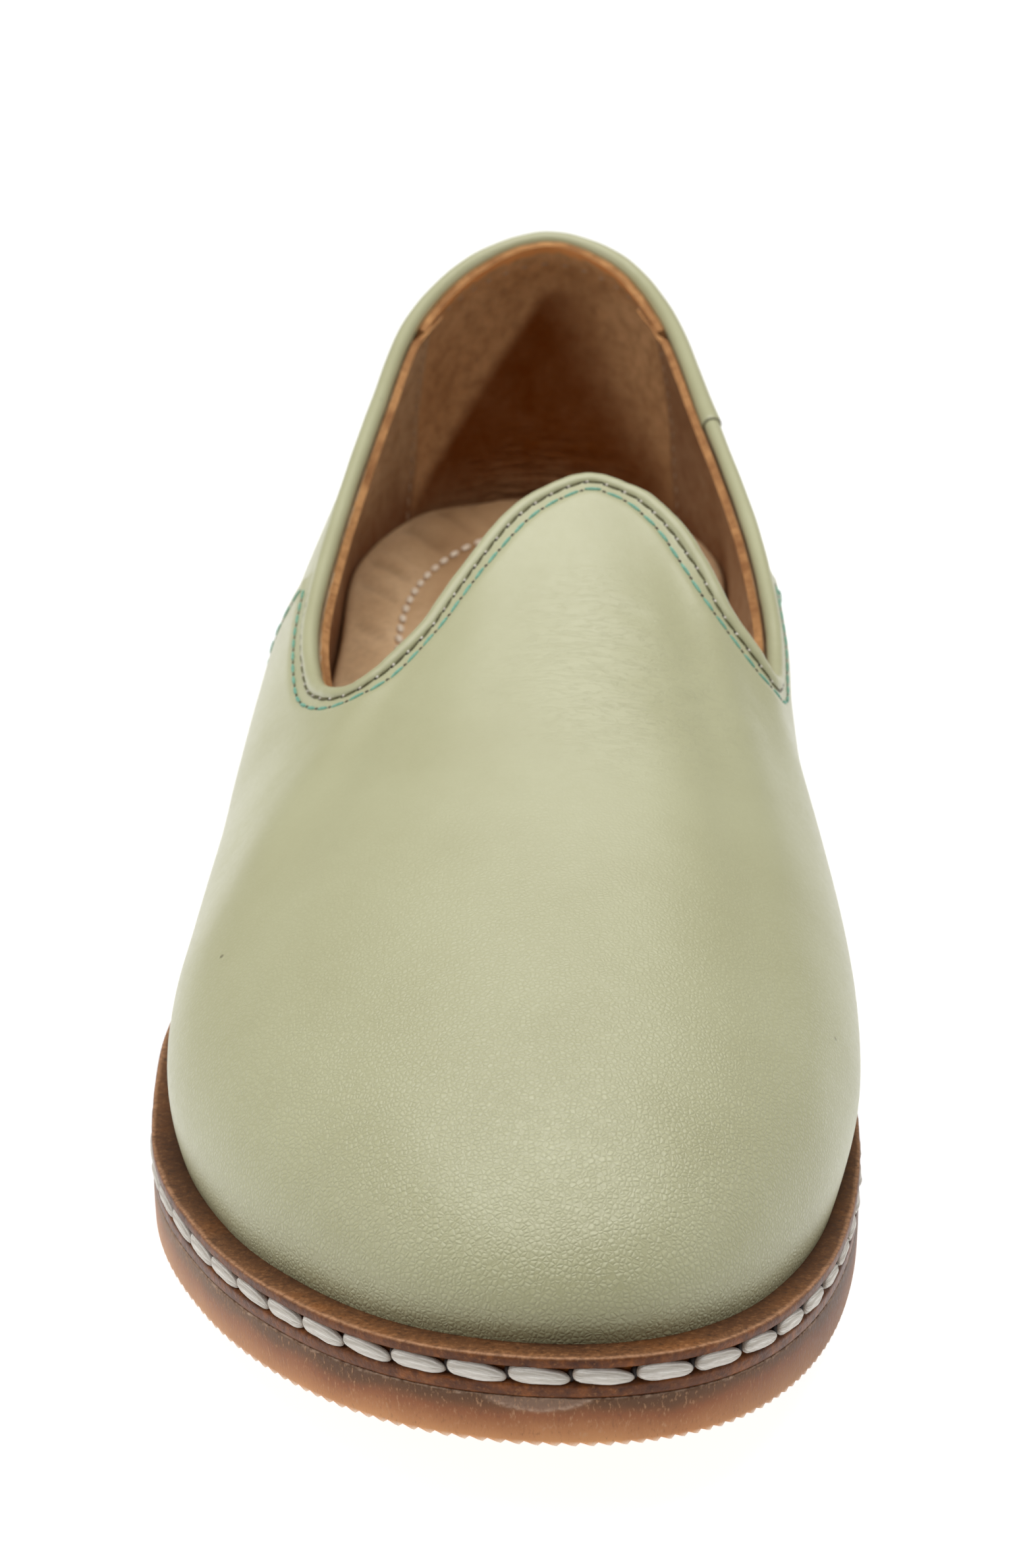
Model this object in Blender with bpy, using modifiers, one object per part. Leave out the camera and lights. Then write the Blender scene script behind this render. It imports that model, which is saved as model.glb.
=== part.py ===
"""Flat slip-on shoe for the right foot: outsole, midsole, upper, collar binding and insole.

Millimetres are used for every driving size and turned into metres where a mesh is made.
The toe points to -Y, the heel to +Y, the inner (medial) side of the foot to +X and up is +Z.
Inside the functions a place is given as x from the heel's axis, y from the toe tip and z from the floor.
"""
import math

import bmesh
import bpy
import numpy as np

MM = 0.001

# Sole
LENGTH = 262.0
OUTSOLE_THICK = 6.4
MIDSOLE_THICK = 5.4
SEAT = 0.3
TOE_SPRING = 12.1
SPRING_START = 85.0
ARCH_RISE = 1.2
ARCH_FRONT = 112.0
ARCH_BACK = 192.0
SOLE_EDGE_ROUND = 0.5
WELT_EDGE_ROUND = 1.0
CHANNEL_DEPTH = 0.9
CHANNEL_HALF = 1.35
CHANNEL_DROP = 2.5

# Upper and binding
VAMP_WALL = 2.6
QUARTER_WALL = 1.8
SEAM_ALONG = 163.0
SEAM_WIDTH = 0.4
SECTION_PITCH = 22.0
BEAD_RADIUS = 1.35
TURN_IN = 14.0

# Insole
INSOLE_GAP = 0.9
INSOLE_FRONT = 4.4
INSOLE_HEEL = 9.6
HEEL_PAD_FRONT = 150.0
HEEL_PAD_BACK = 215.0
INSOLE_CROWN = 0.8

# Mesh density
SOLE_STEPS = 84
INSOLE_STEPS = 64
STEPS_PER_ROW = 4
WALL_STEPS = 12
WALL_GRADING = 1.3
CURVE_STEPS = 60
BEAD_RESOLUTION = 2

# Plan of the sole's edge, one row per section from the toe tip to the back of the heel.
# along: distance from the toe tip; lateral, medial: reach to each side of the heel's axis;
# ledge_lat, ledge_med: how far the upper's foot stands in from that edge.
SOLE_PLAN = (
    # along, lateral, medial, ledge_lat, ledge_med
    (0.0, -4.0, 4.0, 4.6, 4.6),
    (6.0, 16.4, 21.0, 4.3, 4.4),
    (18.0, 29.4, 30.2, 4.0, 3.7),
    (36.0, 41.0, 37.0, 3.6, 2.9),
    (58.0, 49.0, 40.8, 3.6, 2.5),
    (85.0, 50.2, 41.6, 3.5, 2.5),
    (118.0, 46.4, 37.6, 3.4, 3.2),
    (155.0, 41.0, 33.4, 3.2, 3.2),
    (195.0, 37.2, 34.2, 2.8, 2.8),
    (226.0, 35.6, 35.0, 2.6, 2.6),
    (248.0, 26.6, 26.6, 2.6, 2.6),
    (262.0, 0.0, 0.0, 2.8, 2.8),
)

# Wall of the upper, one row per section round the shoe: the toe, the lateral side, the heel, the medial side.
# along, side: where the section's foot stands on the plan (side -1 lateral, +1 medial);
# top_x, top_y, top_z: where that section would end at the collar line;
# flare, rise: how far the wall heads out and up from its foot;
# shoulder, drop: how far it heads out and down from the collar line.
WALL_SECTIONS = (
    # along, side, top_x, top_y, top_z, flare, rise, shoulder, drop
    (0.0, -1, 6.8, 148.0, 69.9, 1.0, 24.0, 72.0, 30.0),
    (7.0, -1, 1.0, 145.5, 68.9, 0.6, 25.2, 65.9, 28.5),
    (16.0, -1, -4.6, 140.9, 66.7, 1.0, 25.1, 58.3, 26.3),
    (28.0, -1, -10.1, 133.4, 62.5, 1.9, 25.2, 46.4, 23.1),
    (43.0, -1, -15.6, 124.8, 57.5, 4.6, 23.4, 35.2, 20.0),
    (63.0, -1, -21.7, 119.7, 53.5, 6.1, 20.0, 29.8, 18.2),
    (90.0, -1, -26.4, 118.8, 50.5, 5.2, 17.6, 20.3, 17.5),
    (114.0, -1, -30.5, 122.7, 48.0, 5.1, 16.5, 13.4, 16.6),
    (132.0, -1, -33.1, 130.9, 46.5, 5.9, 17.4, 10.2, 13.5),
    (150.0, -1, -34.3, 146.0, 48.3, 6.5, 16.4, 9.2, 14.7),
    (172.0, -1, -32.0, 171.0, 52.2, 4.7, 15.0, 8.5, 12.0),
    (205.0, -1, -27.4, 204.0, 57.7, 2.0, 16.0, 5.0, 13.0),
    (234.0, -1, -22.1, 233.6, 62.5, 1.5, 18.0, 5.0, 15.0),
    (252.0, -1, -11.9, 252.1, 66.4, 2.0, 20.0, 5.0, 16.0),
    (262.0, -1, 1.4, 258.7, 68.2, 2.5, 20.0, 4.0, 17.0),
    (252.0, 1, 14.1, 252.3, 66.4, 2.0, 20.0, 5.0, 16.0),
    (234.0, 1, 22.3, 235.0, 62.5, 1.5, 18.0, 5.0, 15.0),
    (205.0, 1, 27.7, 204.0, 57.7, 2.0, 16.0, 5.0, 13.0),
    (172.0, 1, 32.8, 172.0, 52.4, 2.3, 15.0, 5.0, 12.0),
    (150.0, 1, 34.8, 148.7, 48.7, 1.3, 14.9, 4.3, 11.2),
    (132.0, 1, 34.8, 134.9, 46.4, 1.4, 15.5, 3.4, 14.0),
    (110.0, 1, 33.9, 127.1, 47.1, 2.1, 16.4, 7.0, 18.4),
    (82.0, 1, 30.9, 125.9, 51.8, 4.4, 18.4, 15.4, 19.9),
    (54.0, 1, 26.0, 129.2, 57.5, 7.3, 20.6, 27.2, 23.8),
    (35.0, 1, 21.4, 136.5, 63.4, 4.4, 24.2, 39.3, 26.9),
    (21.0, 1, 16.2, 143.6, 67.3, 1.9, 25.6, 49.8, 29.0),
    (10.0, 1, 11.8, 147.0, 68.9, 0.5, 24.8, 61.2, 28.6),
)

FULL_TURN = 2.0 * math.pi


def turn_at(along, side):
    """Angle round the plan of a place on the sole's edge: 0 at the toe tip, half a turn at the heel."""
    angle = math.acos(max(-1.0, min(1.0, 1.0 - 2.0 * along / LENGTH)))
    return angle if side < 0 else FULL_TURN - angle


def through_ring(angles, values, wanted):
    """Smooth closed curve through values held at rising angles round one full turn."""
    angles = np.asarray(angles, float)
    values = np.asarray(values, float)
    angles_out = np.concatenate([[angles[-1] - FULL_TURN], angles, [angles[0] + FULL_TURN]])
    values_out = np.concatenate([[values[-1]], values, [values[0]]])
    step = np.diff(angles_out)
    slope = np.diff(values_out) / step
    tangent = (slope[:-1] * step[1:] + slope[1:] * step[:-1]) / (step[:-1] + step[1:])
    tangent = np.append(tangent, tangent[0])
    knots = angles_out[1:]
    held = values_out[1:]
    wanted = np.mod(np.asarray(wanted, float) - angles[0], FULL_TURN) + angles[0]
    i = np.clip(np.searchsorted(angles, wanted, side="right") - 1, 0, len(angles) - 1)
    span = knots[i + 1] - knots[i]
    u = (wanted - knots[i]) / span
    stay = 2.0 * u**3 - 3.0 * u**2 + 1.0
    leave = (u**3 - 2.0 * u**2 + u) * span
    reach = -2.0 * u**3 + 3.0 * u**2
    arrive = (u**3 - u**2) * span
    return stay * held[i] + leave * tangent[i] + reach * held[i + 1] + arrive * tangent[i + 1]


def plan_ring(column_lateral, column_medial, sign):
    """Angles and values of one pair of SOLE_PLAN columns, listed once round the plan."""
    angles = [turn_at(row[0], -1) for row in SOLE_PLAN]
    values = [sign * row[column_lateral] for row in SOLE_PLAN]
    for row in SOLE_PLAN[-2:0:-1]:
        angles.append(turn_at(row[0], 1))
        values.append(row[column_medial])
    return angles, values


def edge_point(turn):
    """Plan point of the sole's edge at each angle."""
    angles, values = plan_ring(1, 2, -1.0)
    x = through_ring(angles, values, turn)
    y = 0.5 * LENGTH * (1.0 - np.cos(turn))
    return np.stack([x, y], axis=-1)


def ledge_at(turn):
    """Distance from the sole's edge in to the upper's foot at each angle."""
    angles, values = plan_ring(3, 4, 1.0)
    return through_ring(angles, values, turn)


def edge_normal(turn):
    """Outward plan direction of the sole's edge at each angle."""
    step = 0.001
    run = edge_point(turn + step) - edge_point(turn - step)
    run /= np.linalg.norm(run, axis=-1, keepdims=True)
    return np.stack([-run[..., 1], run[..., 0]], axis=-1)


def sole_lift(y):
    """Height of the sole's underside over the floor: toe spring, flat ball, low arch, flat heel."""
    spring = TOE_SPRING * np.clip((SPRING_START - y) / SPRING_START, 0.0, 1.3) ** 2
    share = np.clip((y - ARCH_FRONT) / (ARCH_BACK - ARCH_FRONT), 0.0, 1.0)
    return spring + ARCH_RISE * np.sin(math.pi * share) ** 2


def sole_turns(steps):
    """Even angles round the plan, so each lateral point has a medial one level with it."""
    return np.arange(steps) * (FULL_TURN / steps)


def sole_ring(turn, inset, height):
    """Ring of points inset from the sole's edge and standing at a height over the sole's underside."""
    plan = edge_point(turn) - edge_normal(turn) * np.reshape(inset, (-1, 1))
    return np.column_stack([plan, height + sole_lift(plan[:, 1])])


EDGE = edge_point(sole_turns(720))
MIDDLE_X = 0.5 * (EDGE[:, 0].min() + EDGE[:, 0].max())


def to_frame(points):
    """Metres in the part's frame: middle of the sole's plan at x = y = 0, floor at z = 0."""
    shift = np.array([MIDDLE_X, 0.5 * LENGTH, 0.0])
    return (np.asarray(points, float) - shift) * MM


def new_object(name, mesh, colour, roughness):
    """One named sub-part with its own Principled material, linked into the shoe's collection."""
    material = bpy.data.materials.new(name)
    material.use_nodes = True
    shader = material.node_tree.nodes["Principled BSDF"]
    shader.inputs["Base Color"].default_value = (*colour, 1.0)
    shader.inputs["Roughness"].default_value = roughness
    mesh.materials.clear()
    mesh.materials.append(material)
    part = bpy.data.objects.new(name, mesh)
    shoe.objects.link(part)
    return part


def lofted_mesh(name, rings):
    """Closed mesh through rings of equal count, its two end rings closed by rungs from side to side."""
    count = len(rings[0])
    shape = bmesh.new()
    grid = []
    for ring in rings:
        grid.append([shape.verts.new(point) for point in to_frame(ring)])
    for low, high in zip(grid, grid[1:]):
        for i in range(count):
            k = (i + 1) % count
            shape.faces.new((low[k], low[i], high[i], high[k]))
    for ring, upward in ((grid[0], False), (grid[-1], True)):
        for i in range(count // 2):
            rung = [ring[i], ring[i + 1], ring[(count - i - 1) % count], ring[(count - i) % count]]
            corners = list(dict.fromkeys(rung))
            shape.faces.new(corners[::-1] if upward else corners)
    bmesh.ops.recalc_face_normals(shape, faces=shape.faces)
    mesh = bpy.data.meshes.new(name)
    shape.to_mesh(mesh)
    shape.free()
    return mesh


def make_outsole():
    """Rubber sheet with eased lower edge."""
    turn = sole_turns(SOLE_STEPS)
    ease = SOLE_EDGE_ROUND
    profile = (
        # inset, height
        (ease + 0.3, 0.0),
        (0.5 * ease, 0.4 * ease),
        (0.0, 1.2 * ease),
        (0.0, OUTSOLE_THICK),
    )
    rings = [sole_ring(turn, np.full(SOLE_STEPS, inset), height) for inset, height in profile]
    return new_object("outsole", lofted_mesh("outsole", rings), (0.42, 0.21, 0.10), 0.45)


def make_midsole():
    """Leather layer with a stitch channel round its side and a rounded welt edge."""
    turn = sole_turns(SOLE_STEPS)
    base = OUTSOLE_THICK + SEAT
    top = base + MIDSOLE_THICK
    channel = top - CHANNEL_DROP
    round_in = WELT_EDGE_ROUND
    profile = (
        # inset, height
        (0.3, base),
        (0.0, base + 0.3),
        (0.0, channel - CHANNEL_HALF),
        (CHANNEL_DEPTH, channel - 0.6 * CHANNEL_HALF),
        (CHANNEL_DEPTH, channel + 0.6 * CHANNEL_HALF),
        (0.0, channel + CHANNEL_HALF),
        (0.1 * round_in, top - 0.6 * round_in),
        (0.4 * round_in, top - 0.1 * round_in),
        (round_in, top),
    )
    rings = [sole_ring(turn, np.full(SOLE_STEPS, inset), height) for inset, height in profile]
    return new_object("midsole", lofted_mesh("midsole", rings), (0.09, 0.045, 0.025), 0.5)


def section_columns(places):
    """WALL_SECTIONS read at fractional row numbers, each column a smooth closed curve round the shoe."""
    rows = np.array([(turn_at(row[0], row[1]),) + tuple(row[2:]) for row in WALL_SECTIONS])
    count = len(rows)
    low = np.floor(places).astype(int)
    u = (places - low)[:, None]

    def pick(number):
        picked = rows[number % count].copy()
        picked[:, 0] += FULL_TURN * (number // count)
        return picked

    a, b, c, d = pick(low - 1), pick(low), pick(low + 1), pick(low + 2)
    bend = (2.0 * a - 5.0 * b + 4.0 * c - d) * u**2 + (3.0 * b - a - 3.0 * c + d) * u**3
    return 0.5 * (2.0 * b + (c - a) * u + bend)


def seam_places():
    """Fractional row numbers of the two side seams."""
    fine = np.linspace(0.0, len(WALL_SECTIONS), 4001)
    turn = section_columns(fine)[:, 0]
    seams = [turn_at(SEAM_ALONG, side) for side in (-1, 1)]
    return [float(np.interp(seam, turn, fine)) for seam in seams]


def wall_places():
    """Fractional row numbers of the upper's columns, with a close pair at each side seam."""
    even = np.arange(len(WALL_SECTIONS) * STEPS_PER_ROW) / STEPS_PER_ROW
    half = 0.5 * SEAM_WIDTH / SECTION_PITCH
    seams = seam_places()
    kept = [place for place in even if min(abs(place - seam) for seam in seams) > 4.0 * half]
    pairs = [seam + side * half for seam in seams for side in (-1.0, 1.0)]
    return np.array(sorted(kept + pairs))


def wall_curves(places):
    """Outer face of the upper: one curve per place, from its foot on the midsole up to the collar line."""
    columns = section_columns(places)
    turn = columns[:, 0]
    top = columns[:, 1:4]
    flare, rise, shoulder, drop = columns[:, 4:].T[:, :, None]
    plan = edge_point(turn)
    out = edge_normal(turn)
    foot_plan = plan - out * ledge_at(turn)[:, None]
    foot_height = OUTSOLE_THICK + SEAT + MIDSOLE_THICK + SEAT + sole_lift(foot_plan[:, 1])
    foot = np.column_stack([foot_plan, foot_height])
    away = foot_plan - top[:, :2] + out * TURN_IN
    away /= np.linalg.norm(away, axis=1, keepdims=True)
    flat = np.zeros((len(turn), 1))
    up = np.array([0.0, 0.0, 1.0])
    low_pull = foot + np.hstack([out, flat]) * flare + up * rise
    high_pull = top + np.hstack([away, flat]) * shoulder - up * drop
    t = np.linspace(0.0, 1.0, CURVE_STEPS)[None, :, None]
    ends = (1.0 - t) ** 3 * foot[:, None] + t**3 * top[:, None]
    pulls = 3.0 * (1.0 - t) ** 2 * t * low_pull[:, None] + 3.0 * (1.0 - t) * t**2 * high_pull[:, None]
    return ends + pulls


def grid_normals(grid):
    """Outward direction at every point of a grid that is closed round the shoe."""
    around = np.roll(grid, -1, axis=0) - np.roll(grid, 1, axis=0)
    upward = np.gradient(grid, axis=1)
    normal = np.cross(upward, around)
    return normal / np.linalg.norm(normal, axis=2, keepdims=True)


def bead_axis(curves):
    """Middle line of the collar bead, over the middle of the quarter's wall at the end of each curve."""
    return curves[:, -1] - grid_normals(curves)[:, -1] * (VAMP_WALL - 0.5 * QUARTER_WALL)


def wall_grid(places, steps):
    """Outer face of the upper as graded points up each curve, each curve ending clear of the bead."""
    curves = wall_curves(places)
    axis = bead_axis(curves)
    share = np.linspace(0.0, 1.0, 8, endpoint=False)[:, None, None]
    dense = (axis * (1.0 - share) + np.roll(axis, -1, axis=0) * share).reshape(-1, 3)
    middle = curves - grid_normals(curves) * (VAMP_WALL - 0.5 * QUARTER_WALL)
    clear = BEAD_RADIUS + SEAT
    grid = np.zeros((len(curves), steps, 3))
    for i, curve in enumerate(curves):
        run = np.append(0.0, np.cumsum(np.linalg.norm(np.diff(curve, axis=0), axis=1)))
        away = np.linalg.norm(middle[i][:, None] - dense[None], axis=2).min(axis=1)
        last = np.nonzero(away >= clear)[0].max()
        rest = (away[last] - clear) / (away[last] - away[last + 1])
        reach = run[last] + rest * (run[last + 1] - run[last])
        wanted = reach * np.linspace(0.0, 1.0, steps) ** WALL_GRADING
        for k in range(3):
            grid[i, :, k] = np.interp(wanted, run, curve[:, k])
    return grid, axis


def make_upper():
    """Hollow wall: the inner face lofted, then thickened outwards, more over the vamp than the quarters."""
    places = wall_places()
    outer, _ = wall_grid(places, WALL_STEPS)
    inner = outer - grid_normals(outer) * VAMP_WALL
    count = len(places)
    shape = bmesh.new()
    verts = [[shape.verts.new(point) for point in to_frame(column)] for column in inner]
    for i in range(count):
        k = (i + 1) % count
        for j in range(WALL_STEPS - 1):
            shape.faces.new((verts[i][j], verts[i][j + 1], verts[k][j + 1], verts[k][j]))
    mesh = bpy.data.meshes.new("upper")
    shape.to_mesh(mesh)
    shape.free()
    upper = new_object("upper", mesh, (0.52, 0.53, 0.37), 0.45)
    low_seam, high_seam = seam_places()
    vamp = upper.vertex_groups.new(name="vamp")
    for i, place in enumerate(places):
        if place < low_seam or place > high_seam:
            vamp.add(range(i * WALL_STEPS, (i + 1) * WALL_STEPS - 1), 1.0, "REPLACE")
    wall = upper.modifiers.new("wall", "SOLIDIFY")
    wall.thickness = VAMP_WALL * MM
    wall.offset = 1.0
    wall.use_even_offset = False
    wall.use_quality_normals = True
    wall.vertex_group = "vamp"
    wall.thickness_vertex_group = QUARTER_WALL / VAMP_WALL
    return upper


def make_binding():
    """Rolled bead swept round the collar and the throat, just clear of the upper's rim."""
    _, axis = wall_grid(wall_places(), WALL_STEPS)
    path = bpy.data.curves.new("collar_binding_path", "CURVE")
    path.dimensions = "3D"
    path.bevel_depth = BEAD_RADIUS * MM
    path.bevel_resolution = BEAD_RESOLUTION
    path.twist_mode = "MINIMUM"
    line = path.splines.new("POLY")
    line.points.add(len(axis) - 1)
    for point, place in zip(line.points, to_frame(axis)):
        point.co = (*place, 1.0)
    line.use_cyclic_u = True
    sweep = bpy.data.objects.new("collar_binding_path", path)
    cutters.objects.link(sweep)
    bpy.context.view_layer.update()
    graph = bpy.context.evaluated_depsgraph_get()
    mesh = bpy.data.meshes.new_from_object(sweep.evaluated_get(graph))
    mesh.name = "collar_binding"
    bpy.data.objects.remove(sweep)
    return new_object("collar_binding", mesh, (0.50, 0.51, 0.36), 0.45)


def insole_thickness(y):
    """Footbed thickness: thin under the ball, padded under the heel."""
    share = np.clip((y - HEEL_PAD_FRONT) / (HEEL_PAD_BACK - HEEL_PAD_FRONT), 0.0, 1.0)
    return INSOLE_FRONT + (INSOLE_HEEL - INSOLE_FRONT) * share**2 * (3.0 - 2.0 * share)


def make_insole():
    """Footbed that fills the upper's foot, its upper face slightly crowned."""
    turn = sole_turns(INSOLE_STEPS)
    floor = OUTSOLE_THICK + SEAT + MIDSOLE_THICK + SEAT
    inset = ledge_at(turn) + VAMP_WALL + INSOLE_GAP
    thick = insole_thickness(edge_point(turn)[:, 1])
    profile = (
        # extra inset, share of the thickness, crown
        (0.4, 0.0, 0.0),
        (0.0, 0.15, 0.0),
        (0.0, 0.8, 0.0),
        (1.4, 1.0, 0.0),
        (9.0, 1.0, INSOLE_CROWN),
    )
    rings = []
    for extra, share, crown in profile:
        rings.append(sole_ring(turn, inset + extra, floor + share * thick + crown))
    return new_object("insole", lofted_mesh("insole", rings), (0.36, 0.22, 0.14), 0.6)


for stale in list(bpy.data.objects):
    bpy.data.objects.remove(stale)
shoe = bpy.data.collections.new("flat_slip_on_shoe")
bpy.context.scene.collection.children.link(shoe)
cutters = bpy.data.collections.new("cutters")
bpy.context.scene.collection.children.link(cutters)
make_outsole()
make_midsole()
make_upper()
make_binding()
make_insole()
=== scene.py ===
"""Looks of the flat slip-on shoe for the right foot: sage leather upper with a rolled collar binding,
brown linings, tan footbed, hand-sewn leather midsole and gum outsole.

Sizes are millimetres, as in the part: x from the heel's axis and positive to the inner side of the foot,
y from the toe tip and z from the floor. to_frame turns them into metres in the part's frame.
"""
import math

import bmesh
import bpy
import numpy as np
from mathutils import Matrix, Vector


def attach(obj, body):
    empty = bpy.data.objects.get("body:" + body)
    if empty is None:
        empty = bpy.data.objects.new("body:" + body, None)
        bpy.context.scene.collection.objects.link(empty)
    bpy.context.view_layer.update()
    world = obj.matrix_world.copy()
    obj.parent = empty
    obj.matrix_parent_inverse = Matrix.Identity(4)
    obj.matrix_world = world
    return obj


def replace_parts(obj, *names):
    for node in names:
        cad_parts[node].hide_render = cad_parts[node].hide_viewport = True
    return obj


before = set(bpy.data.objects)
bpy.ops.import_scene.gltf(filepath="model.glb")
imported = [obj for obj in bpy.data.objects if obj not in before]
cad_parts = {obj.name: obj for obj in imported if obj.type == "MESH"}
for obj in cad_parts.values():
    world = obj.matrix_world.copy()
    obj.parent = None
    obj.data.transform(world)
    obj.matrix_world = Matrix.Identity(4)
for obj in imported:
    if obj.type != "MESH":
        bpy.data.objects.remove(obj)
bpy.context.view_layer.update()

MM = 0.001
FULL_TURN = 2.0 * math.pi

# Sole, as in the part
LENGTH = 262.0
OUTSOLE_THICK = 6.4
MIDSOLE_THICK = 5.4
SEAT = 0.3
TOE_SPRING = 12.1
SPRING_START = 85.0
ARCH_RISE = 1.2
ARCH_FRONT = 112.0
ARCH_BACK = 192.0
CHANNEL_DROP = 2.5
MIDSOLE_BASE = OUTSOLE_THICK + SEAT
MIDSOLE_TOP = MIDSOLE_BASE + MIDSOLE_THICK

# Upper and footbed, as in the part
VAMP_WALL = 2.6
QUARTER_WALL = 1.8
SEAM_ALONG = 163.0
SECTION_PITCH = 22.0
TURN_IN = 14.0
INSOLE_FRONT = 4.4
INSOLE_HEEL = 9.6
HEEL_PAD_FRONT = 150.0
HEEL_PAD_BACK = 215.0
FOOTBED_CROWN = 0.8
PAD_HALF_WIDE = 22.6
PAD_ROUND_FROM = 195.0
PAD_ROUND_LONG = 43.0
CURVE_STEPS = 140
WALL_MIDDLE = VAMP_WALL - 0.5 * QUARTER_WALL

# Leather and linings
VAMP_THICK = 0.75
QUARTER_THICK = 0.5
QUARTER_SET_BACK = 0.8
UNDERLAP = 0.14
EDGE_CLEAR = 0.8
DIP_BAND = 4.2
VAMP_DIP = 0.72
QUARTER_DIP = 0.15
PRESSED_DEPTH = 0.10
PRESSED_HALF = 0.45
PULL_IN = 0.5
BEAD_OUTWARD = 0.2
JOINT_PLACE = 17.08
LINING_THICK = 1.15
LINING_TOP = 0.6
LINING_INSET = 2.3
LINING_CLEAR = 0.6
LINING_BULGE = 2.0
LINING_BULGE_BAND = 8.0
HEEL_LINING_FROM = 11.9
HEEL_LINING_TO = 16.15
SIDE_LINING_FROM = 15.75
SIDE_LINING_TO = 12.2
MEDIAL_SLANT = 0.45
LATERAL_SLANT = 0.58
LAP_BAND = 0.115
LAP_CLEAR = 0.125
LAP_GAP = 0.05
END_TUCK = 0.9
SKIVED_SHARE = 0.62
RAW_BAND_SIDE = 1.3
RAW_BAND_HEEL = 3.4

# Rows of stitches: their pitch and how far below the bead's middle line they lie
WELT_STITCHES = 84
BINDING_PITCH = 2.85
BINDING_ROW_BELOW = EDGE_CLEAR + 0.25
SECOND_ROW_PITCH = 3.3
SECOND_ROW_BELOW = 2.85
SEAM_ROW_IN = 0.1
SIDE_LINING_PITCH = 2.6
SIDE_LINING_ROW_IN = 2.0
SIDE_LINING_ROW_BELOW = 4.0
SIDE_LINING_ROW_FOOT = 16.0
HEEL_LINING_PITCH = 3.4
HEEL_LINING_ROW_BELOW = 3.8
FOOTBED_PITCH = 3.3

# Share of the pitch that a stitch fills
BINDING_FILL = 0.86
SECOND_ROW_FILL = 0.76
FOOTBED_FILL = 0.76

# Stitches and holes: width, thickness, height of the middle over the surface, slant
BINDING_STITCH = (0.42, 0.36, 0.06, 0.10)
BINDING_HOLE = (0.55, 0.2, 0.02, 0.0)
BINDING_KNOT = (0.42, 0.3, 0.09, 0.0)
SECOND_ROW_STITCH = (0.56, 0.4, 0.08, 0.05)
SECOND_ROW_HOLE = (0.5, 0.18, 0.03, 0.0)
SIDE_LINING_STITCH = (0.42, 0.28, 0.05, 0.0)
HEEL_LINING_STITCH = (0.4, 0.25, 0.04, 0.2)
FOOTBED_STITCH = (1.25, 0.8, 0.28, 0.14)
WELT_GAP = (2.0, 0.8, -0.25, 0.0)

# Hand trimming of the sole's edge at the ball: outward where positive, its middle and spread along the shoe
TRIM_LATERAL = (0.8, 88.0, 14.0)
TRIM_MEDIAL = (-0.45, 82.0, 22.0)
TRIM_FADES_BY = 3.5

# Plan of the sole's edge, one row per section from the toe tip to the back of the heel.
SOLE_PLAN = (
    # along, lateral, medial, ledge_lat, ledge_med
    (0.0, -4.0, 4.0, 4.6, 4.6),
    (6.0, 16.4, 21.0, 4.3, 4.4),
    (18.0, 29.4, 30.2, 4.0, 3.7),
    (36.0, 41.0, 37.0, 3.6, 2.9),
    (58.0, 49.0, 40.8, 3.6, 2.5),
    (85.0, 50.2, 41.6, 3.5, 2.5),
    (118.0, 46.4, 37.6, 3.4, 3.2),
    (155.0, 41.0, 33.4, 3.2, 3.2),
    (195.0, 37.2, 34.2, 2.8, 2.8),
    (226.0, 35.6, 35.0, 2.6, 2.6),
    (248.0, 26.6, 26.6, 2.6, 2.6),
    (262.0, 0.0, 0.0, 2.8, 2.8),
)

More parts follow.
